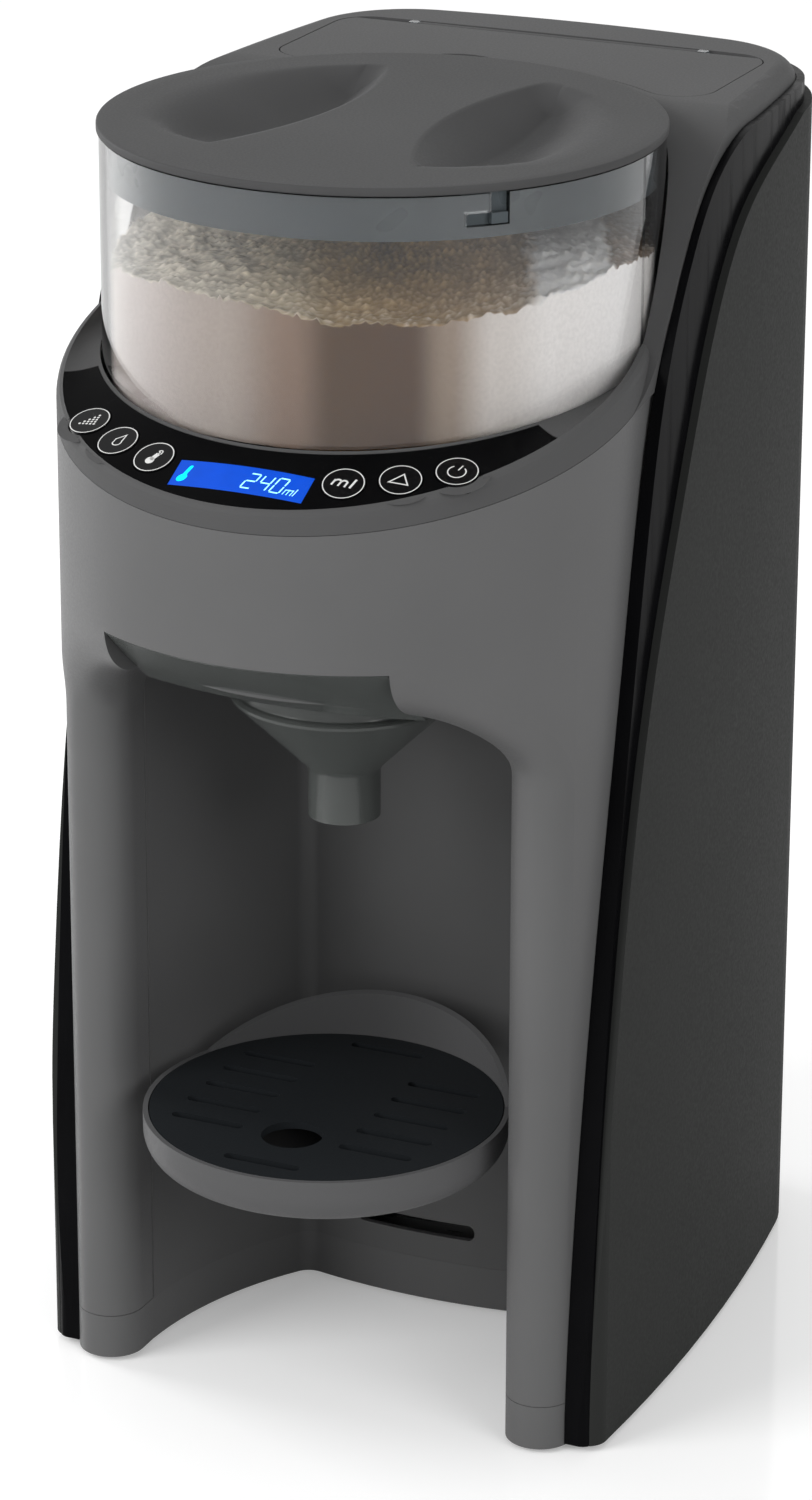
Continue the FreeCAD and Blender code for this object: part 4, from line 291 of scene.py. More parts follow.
def band(path, width, closed=False, mitre=0.35):
    # flat ribbon of a given width along a 2D line, with mitred corners that a limit keeps short
    left, right = [], []
    count = len(path)
    for index, point in enumerate(path):
        before = path[index - 1] if index or closed else None
        after = path[(index + 1) % count] if index < count - 1 or closed else None
        ends = ((before, point), (point, after))
        runs = [(Vector(b) - Vector(a)).normalized() for a, b in ends if a and b]
        along = (runs[0] + runs[-1]).normalized()
        side = Vector((-along.y, along.x)) * width / 2 / max(mitre, abs(along.dot(runs[0])))
        left.append(Vector(point) + side)
        right.append(Vector(point) - side)
    faces = [(i, (i + 1) % count, (i + 1) % count + count, i + count)
             for i in range(count if closed else count - 1)]
    return left + right, [face[::-1] for face in faces]


def disc(centre, radius, steps=20):
    rim = [Vector((centre[0] + radius * math.cos(turn), centre[1] + radius * math.sin(turn)))
           for turn in turnsOf(steps)]
    return rim, [tuple(range(steps))]


def gather(shapes):
    # several shapes as one
    points, faces = [], []
    for morePoints, moreFaces in shapes:
        base = len(points)
        points += list(morePoints)
        faces += [tuple(index + base for index in face) for face in moreFaces]
    return points, faces


def arc(centre, radius, first, last, steps):
    # points along a circle, from one angle in degrees to another
    turns = [math.radians(first + (last - first) * i / steps) for i in range(steps + 1)]
    return [(centre[0] + radius * math.cos(turn), centre[1] + radius * math.sin(turn))
            for turn in turns]


def surfaceOf(nodeName):
    # a node's surface, to measure heights on
    mesh = nodes[nodeName].data
    mesh.calc_loop_triangles()
    return BVHTree.FromPolygons([v.co for v in mesh.vertices],
                                [t.vertices for t in mesh.loop_triangles])


def castDown(surface, x, y, above=0.6):
    # where a line straight down meets a surface; None beside it
    return surface.ray_cast(Vector((x, y, above)), Vector((0, 0, -1)))[0]


# the lid: two leaf-shaped finger recesses leave a grip between them
lidPlan = {  # metres, measured from the middle of the container; turns are degrees from the front
    "discThick": 0.0023, "plugRadius": 0.07, "edgeRound": 0.0006, "edgeTurns": (0, 22.5, 45, 67.5),
    "gripWaist": 0.0162, "gripFlare": 0.0138, "flareAt": 0.012, "flareRun": 0.057, "wallFoot": 0.031,
    "wallSlope": 0.72, "scoopRadius": 0.064, "tipRadius": 0.057, "tipTurn": 30, "tipTurnRun": 35,
    "rimRun": 0.008, "floorRun": 1.0, "floorRunFront": 0.42, "frontTurn": 110, "frontTurnRun": 60,
    # rows of points, and how they lie across: shares of the grip, of the wall and of the floor
    "rows": 160, "footLimit": 0.62, "edgeLimit": 0.94, "gripParts": (0, 0.5, 0.94, 1),
    "wallParts": (0.06, 0.5, 0.93), "footStep": 0.06, "sharp": 50,
    "floorParts": (0.06, 0.14, 0.22, 0.3, 0.38, 0.46, 0.54, 0.64, 0.76, 0.88, 1)}


def gripEdge(y):
    # half the width of the grip, which flares both ways from its waist
    plan = lidPlan
    return plan["gripWaist"] + plan["gripFlare"] * ((y - plan["flareAt"]) / plan["flareRun"]) ** 2


def lidDepth(x, y):
    # how far the recess dips here: a straight steep wall from the grip, then a floor rising outwards
    plan = lidPlan
    side, edge, foot = abs(x), gripEdge(y), plan["wallFoot"]
    if side <= edge or edge >= foot:
        return 0
    wall = plan["wallSlope"] * (min(side, foot) - edge)
    turn = math.degrees(math.atan2(side, -y))
    widening = eased((turn - plan["tipTurn"]) / plan["tipTurnRun"])
    rim = plan["tipRadius"] + (plan["scoopRadius"] - plan["tipRadius"]) * widening
    if side <= foot:
        return wall * min(1, max(0, (rim - math.hypot(x, y)) / plan["rimRun"]))
    share = (rim - math.hypot(x, y)) / max(plan["rimRun"], rim - math.hypot(foot, y))
    front = eased((plan["frontTurn"] - turn) / plan["frontTurnRun"])
    run = plan["floorRun"] * (1 - front) + plan["floorRunFront"] * front
    return wall * eased(share / run)


def lidColumns(y, reach):
    # places across the lid for one row of points, close together where the recess bends
    plan = lidPlan
    foot = min(plan["wallFoot"], reach * plan["footLimit"])
    edge = min(gripEdge(y), foot * plan["edgeLimit"])
    run = foot - edge
    half = [edge * part for part in plan["gripParts"]]
    half += [edge + run * part for part in plan["wallParts"]]
    half += [foot, foot + run * plan["footStep"]]
    outer = reach - half[-1]
    half += [half[-1] + outer * part for part in plan["floorParts"]]
    return [-x for x in half[:0:-1]] + half


def lidCap():
    low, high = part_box("lid_cap")
    radius, axisY, top = (high[0] - low[0]) / 2, (low[1] + high[1]) / 2, high[2]
    under = top - lidPlan["discThick"]
    roundOff, plug = lidPlan["edgeRound"], lidPlan["plugRadius"]
    profile = [(plug, low[2]), (plug, under), (radius - roundOff / 2, under),
               (radius, under + roundOff / 2)]
    profile += [(radius - roundOff * (1 - math.cos(turn)), top - roundOff * (1 - math.sin(turn)))
                for turn in map(math.radians, lidPlan["edgeTurns"])]
    rows = lidPlan["rows"]
    steps = rows * 2
    points = [(reach * math.sin(turn), axisY - reach * math.cos(turn), z) for reach, z in profile
              for turn in turnsOf(steps)]
    faces = ringFaces(len(profile), steps)
    flat = radius - roundOff
    frontPoint = len(points)
    points += [(0, axisY - flat, top), (0, axisY + flat, top)]
    rearPoint = frontPoint + 1
    starts = [None]
    for row in range(1, rows):
        y = -flat * math.cos(math.pi * row / rows)
        starts.append(len(points))
        columns = lidColumns(y, flat * math.sin(math.pi * row / rows))
        points += [(x, axisY + y, top - lidDepth(x, y)) for x in columns]
    width = len(columns)
    for row in range(1, rows - 1):
        a, b = starts[row], starts[row + 1]
        faces += [(a + i, a + i + 1, b + i + 1, b + i) for i in range(width - 1)]
    faces += [(frontPoint, starts[1] + i + 1, starts[1] + i) for i in range(width - 1)]
    faces += [(starts[rows - 1] + i, starts[rows - 1] + i + 1, rearPoint) for i in range(width - 1)]

    def onEdge(step):
        # the point of the rows' outline at a step round the lid
        step %= steps
        if step == 0:
            return frontPoint
        if step == rows:
            return rearPoint
        return starts[step] + width - 1 if step < rows else starts[steps - step]

    last = (len(profile) - 1) * steps
    faces += [(last + step, last + (step + 1) % steps, onEdge(step + 1), onEdge(step))
              for step in range(steps)]
    points.append((0, axisY, low[2]))
    faces += [((step + 1) % steps, step, len(points) - 1) for step in range(steps)]
    cap = meshPiece("lid_top", points, faces, finishes["lidGrey"], "lid", smooth=True)
    cap.data.set_sharp_from_angle(angle=math.radians(lidPlan["sharp"]))
    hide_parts("lid_cap")


lidCap()
print("lid moulded")


# the funnel: a nozzle under a wide bowl, a plate that slides on the rails, and the curved front
funnelPlan = {  # metres; the bowl is radius and height from the nozzle up
    "axisY": -0.053, "wall": 0.0018, "steps": 96, "frontSteps": 36, "rows": 8, "sharp": 32,
    "bulge": 0.0005, "bulgeForward": 0.56, "bulgeDown": 0.83,
    "bowl": [(0.0105, 0.193), (0.0113, 0.1946), (0.0316, 0.2146), (0.0326, 0.2157), (0.0327, 0.2166),
             (0.0322, 0.2174), (0.0313, 0.2179), (0.031, 0.2188), (0.031, 0.2266)],
    "plateZ": 0.2266, "tongueHalf": 0.034, "tongueRear": -0.018, "shoulderY": -0.084,
    "footMiddle": -0.098, "footBow": 3.5, "topRadius": 0.0838, "topCentreY": -0.045}


def funnelBowl():
    plan = funnelPlan
    low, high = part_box("funnel")
    steps = plan["steps"]
    points = []
    rings = [(plan["bowl"][0][0], low[2])] + plan["bowl"]
    for radius, z in rings:
        points += [Vector((radius * math.sin(turn), plan["axisY"] - radius * math.cos(turn), z))
                   for turn in turnsOf(steps)]
    faces = ringFaces(len(rings), steps)
    hole = list(range(len(points) - steps, len(points)))
    columns = plan["frontSteps"]
    across = [low[0] + (high[0] - low[0]) * i / columns for i in range(columns + 1)]
    front = len(points)
    for row in range(plan["rows"] + 1):
        share = row / plan["rows"]
        swell = plan["bulge"] * math.sin(math.pi * share)
        z = plan["plateZ"] + (high[2] - plan["plateZ"]) * share - swell * plan["bulgeDown"]
        for x in across:
            foot = plan["footMiddle"] + plan["footBow"] * x * x
            lip = plan["topCentreY"] - math.sqrt(plan["topRadius"] ** 2 - x * x)
            points.append(Vector((x, foot + (lip - foot) * share - swell * plan["bulgeForward"], z)))
    for row in range(plan["rows"]):
        a, b = front + row * (columns + 1), front + (row + 1) * (columns + 1)
        faces += [(a + i, a + i + 1, b + i + 1, b + i) for i in range(columns)]
    outline = list(range(front, front + columns + 1))
    half, tongue = high[0], plan["tongueHalf"]
    rear, shoulder = plan["tongueRear"], plan["shoulderY"]
    for x, y in ((half, shoulder), (tongue, shoulder), (tongue, rear),
                 (-tongue, rear), (-tongue, shoulder), (-half, shoulder)):
        outline.append(len(points))
        points.append(Vector((x, y, plan["plateZ"])))
    loops = [[points[i] for i in outline], [points[i] for i in hole]]
    order = outline + hole
    faces += [tuple(order[i] for i in corner) for corner in tessellate_polygon(loops)]
    sheet = bpy.data.meshes.new("funnelSheet")
    sheet.from_pydata([tuple(point) for point in points], [], faces)
    shape = bmesh.new()
    shape.from_mesh(sheet)
    bmesh.ops.recalc_face_normals(shape, faces=shape.faces)
    shape.faces.ensure_lookup_table()
    if shape.faces[0].normal.y > 0:
        bmesh.ops.reverse_faces(shape, faces=shape.faces)
    shape.to_mesh(sheet)
    shape.free()
    holder = bpy.data.objects.new("funnelSheet", sheet)
    bpy.context.scene.collection.objects.link(holder)
    thicken = holder.modifiers.new("wall", "SOLIDIFY")
    thicken.thickness = plan["wall"]
    thicken.offset = -1
    thicken.use_even_offset = True
    thickened = holder.evaluated_get(bpy.context.evaluated_depsgraph_get())
    solid = bpy.data.meshes.new_from_object(thickened)
    bpy.data.objects.remove(holder)
    points = [v.co.copy() for v in solid.vertices]
    faces = [tuple(p.vertices) for p in solid.polygons]
    funnel = meshPiece("funnel_moulding", points, faces, finishes["funnelSmoke"], "funnel",
                       smooth=True)
    funnel.data.set_sharp_from_angle(angle=math.radians(plan["sharp"]))
    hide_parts("funnel")


funnelBowl()
print("funnel moulded")


# signs on the keys, in millimetres from the middle of a key; only the lift is in metres
iconPlan = {"lineWidth": 0.3, "ringWidth": 0.3, "ringInset": 0.35, "ringSteps": 72, "keyRadius": 6.0,
            "scale": 1.18, "lift": 0.00004, "ink": (0.72, 0.72, 0.71), "inkRough": 0.35}
iconInk = mouldedPlastic("iconInk", iconPlan["ink"], iconPlan["inkRough"])
thick = iconPlan["lineWidth"]
iconShapes = {
    "scoop": [disc((-2.1 + 0.95 * column, -1.3 + 0.85 * row), 0.32, 10)
              for column in range(5) for row in range(5) if row <= column],
    "water": [band([(1.5, 2.0), (1.3, 0.4)] + arc((0.1, -0.6), 1.15, 20, -160, 16) + [(-0.7, 0.5)],
                   thick, True)],
    "warmth": [disc((-0.55, -1.2), 1.15), band([(-0.4, -1.0), (0.75, 1.1)], 1.25),
               band([(0.42, 0.65), (0.95, 1.6)] + arc((1.05, 1.75), 0.52, 150, -30, 8) + [(1.35, 0.95)],
                    0.3)],
    "volume": [band([(-2.6, -1.1), (-2.2, 0.9)], 0.5),
               band([(-2.3, 0.3)] + arc((-1.4, 0.2), 0.75, 150, 20, 8) + [(-1.0, -1.1)], 0.5),
               band([(-0.75, 0.3)] + arc((0.1, 0.2), 0.75, 150, 20, 8) + [(0.6, -1.1)], 0.5),
               band([(1.9, -1.1), (2.5, 2.0)], 0.55)],
    "start": [band([(-2.3, -1.5), (0.1, 2.0), (2.2, -1.2)], thick * 1.15, True)],
    "power": [band(arc((0, -0.2), 2.1, 128, 412, 30), thick * 1.1),
              band([(0.1, 0.4), (0.55, 2.3)], thick * 1.1)],
}


def keyPlane(keyName, level=1e-5):
    # the top of a key: its middle, and directions that read upright from the front
    joint = next(j for j in frame["joints"] if j["child"] == "key_" + keyName)
    up = -Vector(joint["axis"]).normalized()
    verts = [v.co for v in nodes["button_" + keyName].data.vertices]
    top = max(v.dot(up) for v in verts)
    crown = [v for v in verts if v.dot(up) > top - level]
    middle = Vector([(min(v[i] for v in crown) + max(v[i] for v in crown)) / 2 for i in range(3)])
    across = Vector((1, 0, 0))
    across = (across - up * across.dot(up)).normalized()
    return middle + up * iconPlan["lift"], across, up.cross(across)


for keyName, shapes in iconShapes.items():
    middle, across, away = keyPlane(keyName)
    radius = iconPlan["keyRadius"] - iconPlan["ringInset"]
    circle = [(radius * math.cos(turn), radius * math.sin(turn))
              for turn in turnsOf(iconPlan["ringSteps"])]
    ring = band(circle, iconPlan["ringWidth"], True)
    points, faces = gather(shapes)
    points, faces = gather([([p * iconPlan["scale"] for p in points], faces), ring])
    placed = [middle + across * p.x / 1000 + away * p.y / 1000 for p in points]
    meshPiece("icon_" + keyName, placed, faces, iconInk, "key_" + keyName)
print("key signs drawn:", len(iconShapes))


# a sliver of the cover's grey closes each key's opening where it runs past the panel
keyRimPlan = {  # metres; the rings are those in which the surface around a key is measured
    "inner": 0.0062, "outer": 0.0093, "steps": 96, "rows": 8, "lift": 0.00003, "outward": 0.003,
    "margin": 0.0003, "openDepth": 0.0008, "rings": (0.0095, 0.0102, 0.0109), "ringReach": 0.0015}


def fittedSurface(middle, around, surfaces):
    # a bowl-shaped surface fitted to what lies in the rings around a key
    places, heights = [], []
    for reach in keyRimPlan["rings"]:
        for side in around:
            spot = middle + side * reach
            hits = [castDown(surface, spot.x, spot.y) for surface in surfaces]
            found = [hit.z for hit in hits if hit is not None]
            if found and abs(max(found) - spot.z) < keyRimPlan["ringReach"]:
                places.append((1, side.x * reach, side.y * reach, (side.x * reach) ** 2,
                               side.x * side.y * reach ** 2, (side.y * reach) ** 2))
                heights.append(max(found))
    return numpy.linalg.lstsq(numpy.array(places), numpy.array(heights), rcond=None)[0]


def keyRims():
    plan = keyRimPlan
    cover, panel = surfaceOf("top_cover"), surfaceOf("control_panel")
    low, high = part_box("lid_cap")
    axis = Vector((0, (low[1] + high[1]) / 2))

    def opensUnder(spot):
        # whether the cover has an opening here
        hit = castDown(cover, spot.x, spot.y)
        return hit is None or hit.z < spot.z - plan["openDepth"]

    points, faces = [], []
    for keyName in iconShapes:
        middle, across, away = keyPlane(keyName)
        around = [across * math.cos(turn) + away * math.sin(turn) for turn in turnsOf(plan["steps"])]
        fit = fittedSurface(middle, around, (cover, panel))
        start = len(points)
        for row in range(plan["rows"] + 1):
            reach = plan["inner"] + (plan["outer"] - plan["inner"]) * row / plan["rows"]
            for side in around:
                x, y = side.x * reach, side.y * reach
                z = float(fit @ numpy.array((1, x, y, x * x, x * y, y * y)))
                points.append(Vector((middle.x + x, middle.y + y, z + plan["lift"])))
        for corners in ringFaces(plan["rows"] + 1, plan["steps"]):
            corners = [start + corner for corner in corners]
            heart = sum((points[corner] for corner in corners), Vector()) / 4
            outward = (heart.xy - axis).length - (middle.xy - axis).length
            beside = ((heart.xy - middle.xy).normalized() * plan["margin"]).to_3d()
            opens = any(opensUnder(spot) for spot in (heart, heart - beside, heart + beside))
            if outward > plan["outward"] and opens and castDown(panel, heart.x, heart.y) is None:
                faces.append(corners[::-1])
    used = sorted({corner for face in faces for corner in face})
    place = {old: new for new, old in enumerate(used)}
    faces = [tuple(place[corner] for corner in face) for face in faces]
    meshPiece("key_rims", [points[i] for i in used], faces, finishes["coverGrey"], "machine",
              smooth=True)
    print("slivers beside the keys:", len(faces), "faces")


keyRims()


# the display's figures, in millimetres from its middle; only the lift is in metres
displayPlan = {
    "lift": 0.00006, "slant": 0.28, "digitHigh": 5.0, "digitWide": 2.9, "stroke": 0.42, "trim": 0.16,
    "figures": "240", "figuresAt": (1.6, -2.6), "figureStep": 4.3, "unitStroke": 0.26,
    "unit": [[(14.3, -2.7), (14.3, -0.9)], [(14.3, -1.1), (15.4, -0.9), (15.4, -2.7)],
             [(15.4, -1.1), (16.5, -0.9), (16.5, -2.7)], [(17.3, -2.7), (17.3, -0.2)]],
    "bulbFoot": (-16.6, -1.6), "bulbRadius": 1.35, "stemFoot": (-16.6, -1.4), "stemTop": (-16.6, 2.2),
    "stemWide": 1.1, "digitColour": (0.3, 0.75, 1.0), "bulbColour": (0.0, 0.7, 1.0)}
segments = {  # corners of a digit, as fractions of its width and height
    "a": ((0, 1), (1, 1)), "b": ((1, 1), (1, 0.5)), "c": ((1, 0.5), (1, 0)), "d": ((0, 0), (1, 0)),
    "e": ((0, 0), (0, 0.5)), "f": ((0, 0.5), (0, 1)), "g": ((0, 0.5), (1, 0.5))}
lit = {"2": "abged", "4": "fgbc", "0": "abcdef"}


def digitShapes(figure, x, y):
    wide, high = displayPlan["digitWide"], displayPlan["digitHigh"]
    shapes = []
    for letter in lit[figure]:
        (x0, y0), (x1, y1) = segments[letter]
        a = Vector((x + x0 * wide, y + y0 * high))
        b = Vector((x + x1 * wide, y + y1 * high))
        trim = (b - a).normalized() * displayPlan["trim"]
        shapes.append(band([tuple(a + trim), tuple(b - trim)], displayPlan["stroke"]))
    return shapes


glass = surfaceOf("display_module")
low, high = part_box("display_module")
middleX, middleY = (low[0] + high[0]) / 2, (low[1] + high[1]) / 2


def onGlass(points):
    # leaning points of the plan, laid on the display's window
    placed = []
    for point in points:
        x = middleX + (point.x + displayPlan["slant"] * point.y) / 1000
        y = middleY + point.y / 1000
        placed.append(castDown(glass, x, y) + Vector((0, 0, displayPlan["lift"])))
    return placed


shapes = []
firstX, firstY = displayPlan["figuresAt"]
for step, figure in enumerate(displayPlan["figures"]):
    shapes += digitShapes(figure, firstX + step * displayPlan["figureStep"], firstY)
shapes += [band(path, displayPlan["unitStroke"]) for path in displayPlan["unit"]]
points, faces = gather(shapes)
digitInk = litInk("digitInk", displayPlan["digitColour"], 1.0)
meshPiece("display_digits", onGlass(points), faces, digitInk, "machine")
foot, top, wide = displayPlan["stemFoot"], displayPlan["stemTop"], displayPlan["stemWide"]
points, faces = gather([disc(displayPlan["bulbFoot"], displayPlan["bulbRadius"]),
                        band([foot, top], wide), disc(top, wide / 2)])
bulbInk = litInk("bulbInk", displayPlan["bulbColour"], 1.0)
meshPiece("display_thermometer", onGlass(points), faces, bulbInk, "machine")
print("display lit")


# the powder: pressed smooth on the wall, crumbly on top
powderPlan = {  # metres and degrees; the scales are those of the noise, per metre
    "axisY": -0.027, "wallRadius": 0.0767, "neckRadius": 0.0694, "neckTop": 0.2945, "bottom": 0.2832,
    "coneTop": 0.3040, "mound": 0.004, "rings": 85, "steps": 440, "rimDrop": 0.0004, "slant": 24,
    "crumb": 0.0021, "crumbHigh": 0.0011, "crumbGain": 1.7,
    "lumpHigh": 0.0009, "lumpScale": 130, "lumpFractal": (0.7, 2.1, 3),
    "ragged": 0.0013, "raggedScale": 420, "drift": 0.012, "driftScale": 300,
    # cream on the crumbs by the wall; painted shade in the gaps between crumbs, weaker within the
    # painted reflection strip
    "cream": (0.95, 0.9, 0.82), "creamShare": 0.6, "creamPower": 5,
    "gapShadeTone": 0.5, "gapShadeInReflection": 0.86, "reflectionStrip": (0.765, 0.91),
    # level against the wall by angle from the front
    "line": [(-180, 0.345), (-105, 0.341), (-57, 0.338), (-40, 0.342), (-21, 0.3435), (-8, 0.343),
             (4, 0.3415), (14, 0.3392), (34, 0.3393), (52, 0.3416), (69, 0.3445), (80, 0.3465),
             (105, 0.3445), (180, 0.345)],
    # powder tone on the wall by angle from the front, with painted shade in a dark band near the front
    # and a near-white painted reflection to its right
    "wallToneShadeAndReflection": [(-180, (0.7, 0.63, 0.56)), (-60, (0.6, 0.54, 0.5)), (-35, (0.54, 0.48, 0.455)),
                  (-10, (0.43, 0.365, 0.32)), (6, (0.26, 0.17, 0.12)), (15, (0.09, 0.045, 0.018)),
                  (30, (0.09, 0.045, 0.022)), (38, (0.34, 0.26, 0.2)), (48, (0.74, 0.69, 0.65)),
                  (62, (0.95, 0.92, 0.9)), (85, (0.97, 0.95, 0.94)), (120, (0.7, 0.63, 0.56)),
                  (180, (0.7, 0.63, 0.56))],
    # tones of the loose top, from one side of the slanted middle line to the other: powder tone with
    # painted shade browning the middle and a white painted reflection strip
    "topToneShadeAndReflection": [(0.0, (0.97, 0.9, 0.77)), (0.2, (0.97, 0.87, 0.7)), (0.32, (0.9, 0.74, 0.5)),
                 (0.43, (0.64, 0.42, 0.17)), (0.55, (0.54, 0.32, 0.1)), (0.68, (0.58, 0.37, 0.17)),
                 (0.745, (0.56, 0.4, 0.25)), (0.785, (1.0, 1.0, 1.0)), (0.9, (1.0, 1.0, 1.0)),
                 (0.915, (0.3, 0.19, 0.12)), (1.0, (0.3, 0.19, 0.12))]}


def between(stops, spot):
    # value of a row of stops at one place; a stop holds a number or a colour
    for (a, first), (b, second) in zip(stops, stops[1:]):
        if spot <= b:
            share = eased((spot - a) / (b - a))
            if isinstance(first, tuple):
                return [one + (two - one) * share for one, two in zip(first, second)]
            return first + (second - first) * share
    return stops[-1][1]


def powderHeap():
    plan = powderPlan
    rings, steps, axisY = plan["rings"], plan["steps"], plan["axisY"]
    turns = turnsOf(steps)
    angles = [(math.degrees(turn) + 180) % 360 - 180 for turn in turns]
    levels = [between(plan["line"], angle) for angle in angles]
    # powder tone with painted shade and painted reflection on the wall, for each step round
    wallToneAndShading = [between(plan["wallToneShadeAndReflection"], angle) for angle in angles]
    lean = math.radians(plan["slant"])
    # the span across the top that holds the white painted reflection strip
    reflectionFrom, reflectionTo = plan["reflectionStrip"]
    points, tones = [], []
    for radius, z in ((plan["neckRadius"], plan["bottom"]), (plan["neckRadius"], plan["neckTop"]),
                      (plan["wallRadius"], plan["coneTop"])):
        points += [Vector((radius * math.sin(turn), axisY - radius * math.cos(turn), z))
                   for turn in turns]
        tones += wallToneAndShading
    underRim = len(points)
    points += [Vector((0, 0, 0))] * steps
    tones += wallToneAndShading
    for ring in range(rings):
        share = 1 - ring / rings
        radius = plan["wallRadius"] * share
        for turn, level in zip(turns, levels):
            x, y = radius * math.sin(turn), -radius * math.cos(turn)
            spot = Vector((x, axisY + y, level + plan["mound"] * (1 - share * share)))
            near = noise.voronoi(spot / plan["crumb"])[0]
            crest = min(1, (near[1] - near[0]) * plan["crumbGain"])
            lump = noise.fractal(spot * plan["lumpScale"], *plan["lumpFractal"])
            spot.z += plan["crumbHigh"] * crest + plan["lumpHigh"] * lump
            if not ring:
                spot.z += plan["ragged"] * noise.noise(spot * plan["raggedScale"])
            points.append(spot)
            # place across the top along the slanted line, which lays out the painted shade and the
            # painted reflection strip
            along = ((x * math.cos(lean) + y * math.sin(lean)) / plan["wallRadius"] + 1) / 2
            along += plan["drift"] * noise.noise(spot * plan["driftScale"])
            tone = between(plan["topToneShadeAndReflection"], min(1, max(0, along)))
            # painted shade in the gaps between crumbs, weaker inside the painted reflection strip
            dark = plan["gapShadeInReflection"] if reflectionFrom <= along <= reflectionTo else plan["gapShadeTone"]
            shadeInGaps = dark + (1 - dark) * crest
            mixed = share ** plan["creamPower"] * crest * plan["creamShare"]
            tones.append([(part + (cream - part) * mixed) * shadeInGaps
                          for part, cream in zip(tone, plan["cream"])])
    for step in range(steps):
        rim = points[underRim + steps + step]
        points[underRim + step] = rim - Vector((0, 0, plan["rimDrop"]))
    points += [Vector((0, axisY, points[-1].z)), Vector((0, axisY, plan["bottom"]))]
    tones += [tones[-1], wallToneAndShading[0]]
    layers = rings + 4
    faces = ringFaces(layers, steps)
    last = (layers - 1) * steps
    faces += [(last + i, last + (i + 1) % steps, layers * steps) for i in range(steps)]
    faces += [((i + 1) % steps, i, layers * steps + 1) for i in range(steps)]
    heap = meshPiece("powder_heap", points, faces, formulaFinish(), "container",
                     smooth=True)
    # the colour attribute holds the powder's tone together with painted shade and painted reflection
    colours = heap.data.attributes.new("powderToneAndShading", "FLOAT_COLOR", "POINT")
    colours.data.foreach_set("color", [part for tone in tones for part in (*tone, 1)])
    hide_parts("formula_powder")
    return len(points)


def formulaFinish():
    # powder in the tones laid on its points, which hold painted shade and painted reflection, with a
    # fine grain
    finish, tree, shader, where = startFinish("formulaCream")
    tone = tree.nodes.new("ShaderNodeAttribute")
    tone.attribute_name = "powderToneAndShading"
    fine = addNoise(tree, where, scale=900, detail=4)
    grain = addRange(tree, fine, 0.93, 1.0, (0.35, 0.62))
    body = addMix(tree, "MULTIPLY", tone.outputs["Color"], grain)
    tree.links.new(body, shader.inputs["Base Color"])
    addBump(tree, shader, fine, strength=0.05, depth=0.0001)
    shader.inputs["Roughness"].default_value = 0.95
    shader.inputs["Specular IOR Level"].default_value = 0.1
    return finish


print("powder heaped:", powderHeap(), "points")


# plain studio: pale floor, soft lamps, camera; a lamp has a place, a size, watts and an aim
studioPlan = {
    "floorSize": 6.0, "floorColour": 0.9, "floorGlow": 0.26, "floorSheen": 0.1, "floorGloss": 0.35,
    "ambient": 0.52,
    "lamps": [("key", (-1.5, -1.9, 1.35), 1.5, 41, (0, -0.02, 0.2)),
              ("side", (1.9, -1.0, 1.1), 1.1, 16, (0, 0, 0.2)),
              ("over", (0.1, 0.4, 2.2), 1.2, 4, (0, 0, 0.3)),
              ("edge", (-1.9, 0.25, 0.8), 0.7, 16, (0, -0.04, 0.25))]}
cameraPlan = {"target": (0.00763, -0.027, 0.19049), "azimuth": 24.36, "elevation": 20.53, "roll": 0.15,
              "distance": 1.52775, "lens": 126.08, "sensor": 36, "clipEnd": 20}
for lampName, spot, size, power, target in studioPlan["lamps"]:
    light = bpy.data.lights.new(lampName, "AREA")
    light.size = size
    light.energy = power
    lamp = bpy.data.objects.new(lampName, light)
    lamp.location = spot
    lamp.rotation_euler = (Vector(target) - Vector(spot)).to_track_quat("-Z", "Y").to_euler()
    bpy.context.scene.collection.objects.link(lamp)

world = bpy.data.worlds.new("studioWorld")
bpy.context.scene.world = world
world.use_nodes = True
tree = world.node_tree
tree.nodes.clear()
# white where it is seen straight, through glass or in gloss, and dimmer as light on the object
path = tree.nodes.new("ShaderNodeLightPath")
seen = path.outputs["Is Camera Ray"]
for ray in ("Is Transmission Ray", "Is Glossy Ray"):
    either = tree.nodes.new("ShaderNodeMath")
    either.operation = "MAXIMUM"
    tree.links.new(seen, either.inputs[0])
    tree.links.new(path.outputs[ray], either.inputs[1])
    seen = either.outputs[0]
blend = tree.nodes.new("ShaderNodeMixShader")
tree.links.new(seen, blend.inputs[0])
for socket, strength in ((1, studioPlan["ambient"]), (2, 1)):
    white = tree.nodes.new("ShaderNodeBackground")
    white.inputs["Color"].default_value = (1, 1, 1, 1)
    white.inputs["Strength"].default_value = strength
    tree.links.new(white.outputs[0], blend.inputs[socket])
sky = tree.nodes.new("ShaderNodeOutputWorld")
tree.links.new(blend.outputs[0], sky.inputs[0])

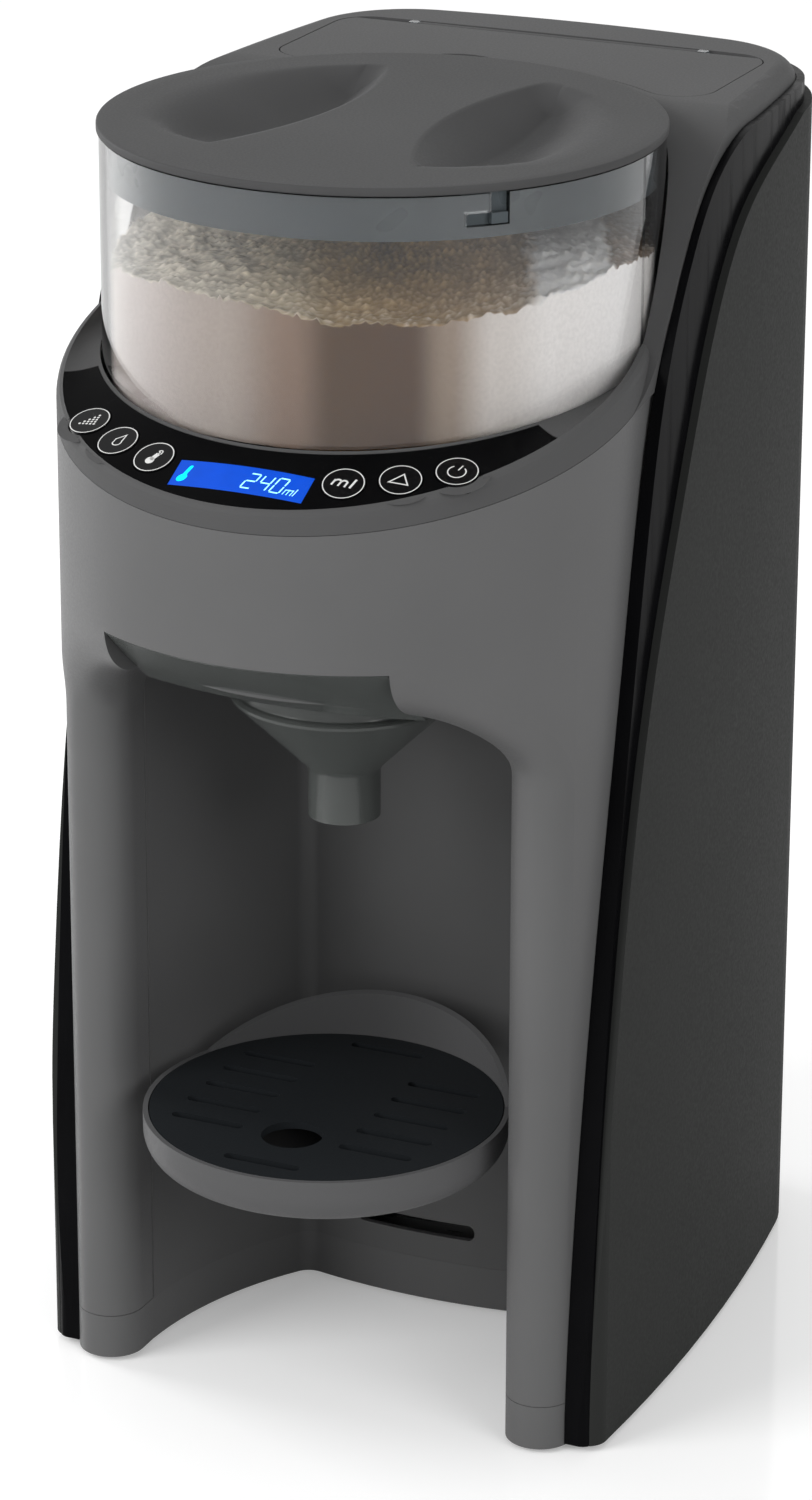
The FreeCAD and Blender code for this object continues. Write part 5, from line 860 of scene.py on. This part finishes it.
half = studioPlan["floorSize"] / 2
floorMesh = bpy.data.meshes.new("studioFloor")
corners = [(-half, -half, 0), (half, -half, 0), (half, half, 0), (-half, half, 0)]
floorMesh.from_pydata(corners, [], [(0, 1, 2, 3)])
floor = bpy.data.objects.new("studioFloor", floorMesh)
bpy.context.scene.collection.objects.link(floor)
paper, tree, shader, where = startFinish("studioPaper")
speck = addNoise(tree, where, scale=9, detail=3)
tone = studioPlan["floorColour"]
tree.links.new(addRange(tree, speck, tone * 0.99, tone, (0.2, 0.8)), shader.inputs["Base Color"])
shader.inputs["Roughness"].default_value = studioPlan["floorSheen"]
shader.inputs["Specular IOR Level"].default_value = studioPlan["floorGloss"]
shader.inputs["Emission Color"].default_value = (1, 1, 1, 1)
path = tree.nodes.new("ShaderNodeLightPath")
glow = tree.nodes.new("ShaderNodeMath")
glow.operation = "MULTIPLY"
glow.inputs[1].default_value = studioPlan["floorGlow"]
tree.links.new(path.outputs["Is Camera Ray"], glow.inputs[0])
tree.links.new(glow.outputs[0], shader.inputs["Emission Strength"])
floorMesh.materials.append(paper)

turn, tilt = math.radians(cameraPlan["azimuth"]), math.radians(cameraPlan["elevation"])
back = Vector((math.sin(turn) * math.cos(tilt), -math.cos(turn) * math.cos(tilt), math.sin(tilt)))
camera = bpy.data.objects.new("studioCamera", bpy.data.cameras.new("studioCamera"))
camera.data.lens = cameraPlan["lens"]
camera.data.sensor_width = cameraPlan["sensor"]
camera.data.clip_end = cameraPlan["clipEnd"]
across = (-back).cross(Vector((0, 0, 1))).normalized()
upward = across.cross(-back)
roll = math.radians(cameraPlan["roll"])
rolledAcross = across * math.cos(roll) + upward * math.sin(roll)
rolledUp = upward * math.cos(roll) - across * math.sin(roll)
spot = Vector(cameraPlan["target"]) + back * cameraPlan["distance"]
facing = Matrix((rolledAcross, rolledUp, back)).transposed().to_4x4()
camera.matrix_world = Matrix.Translation(spot) @ facing
bpy.context.scene.collection.objects.link(camera)
bpy.context.scene.camera = camera
bpy.context.scene.view_settings.view_transform = "Standard"
print("studio lit")
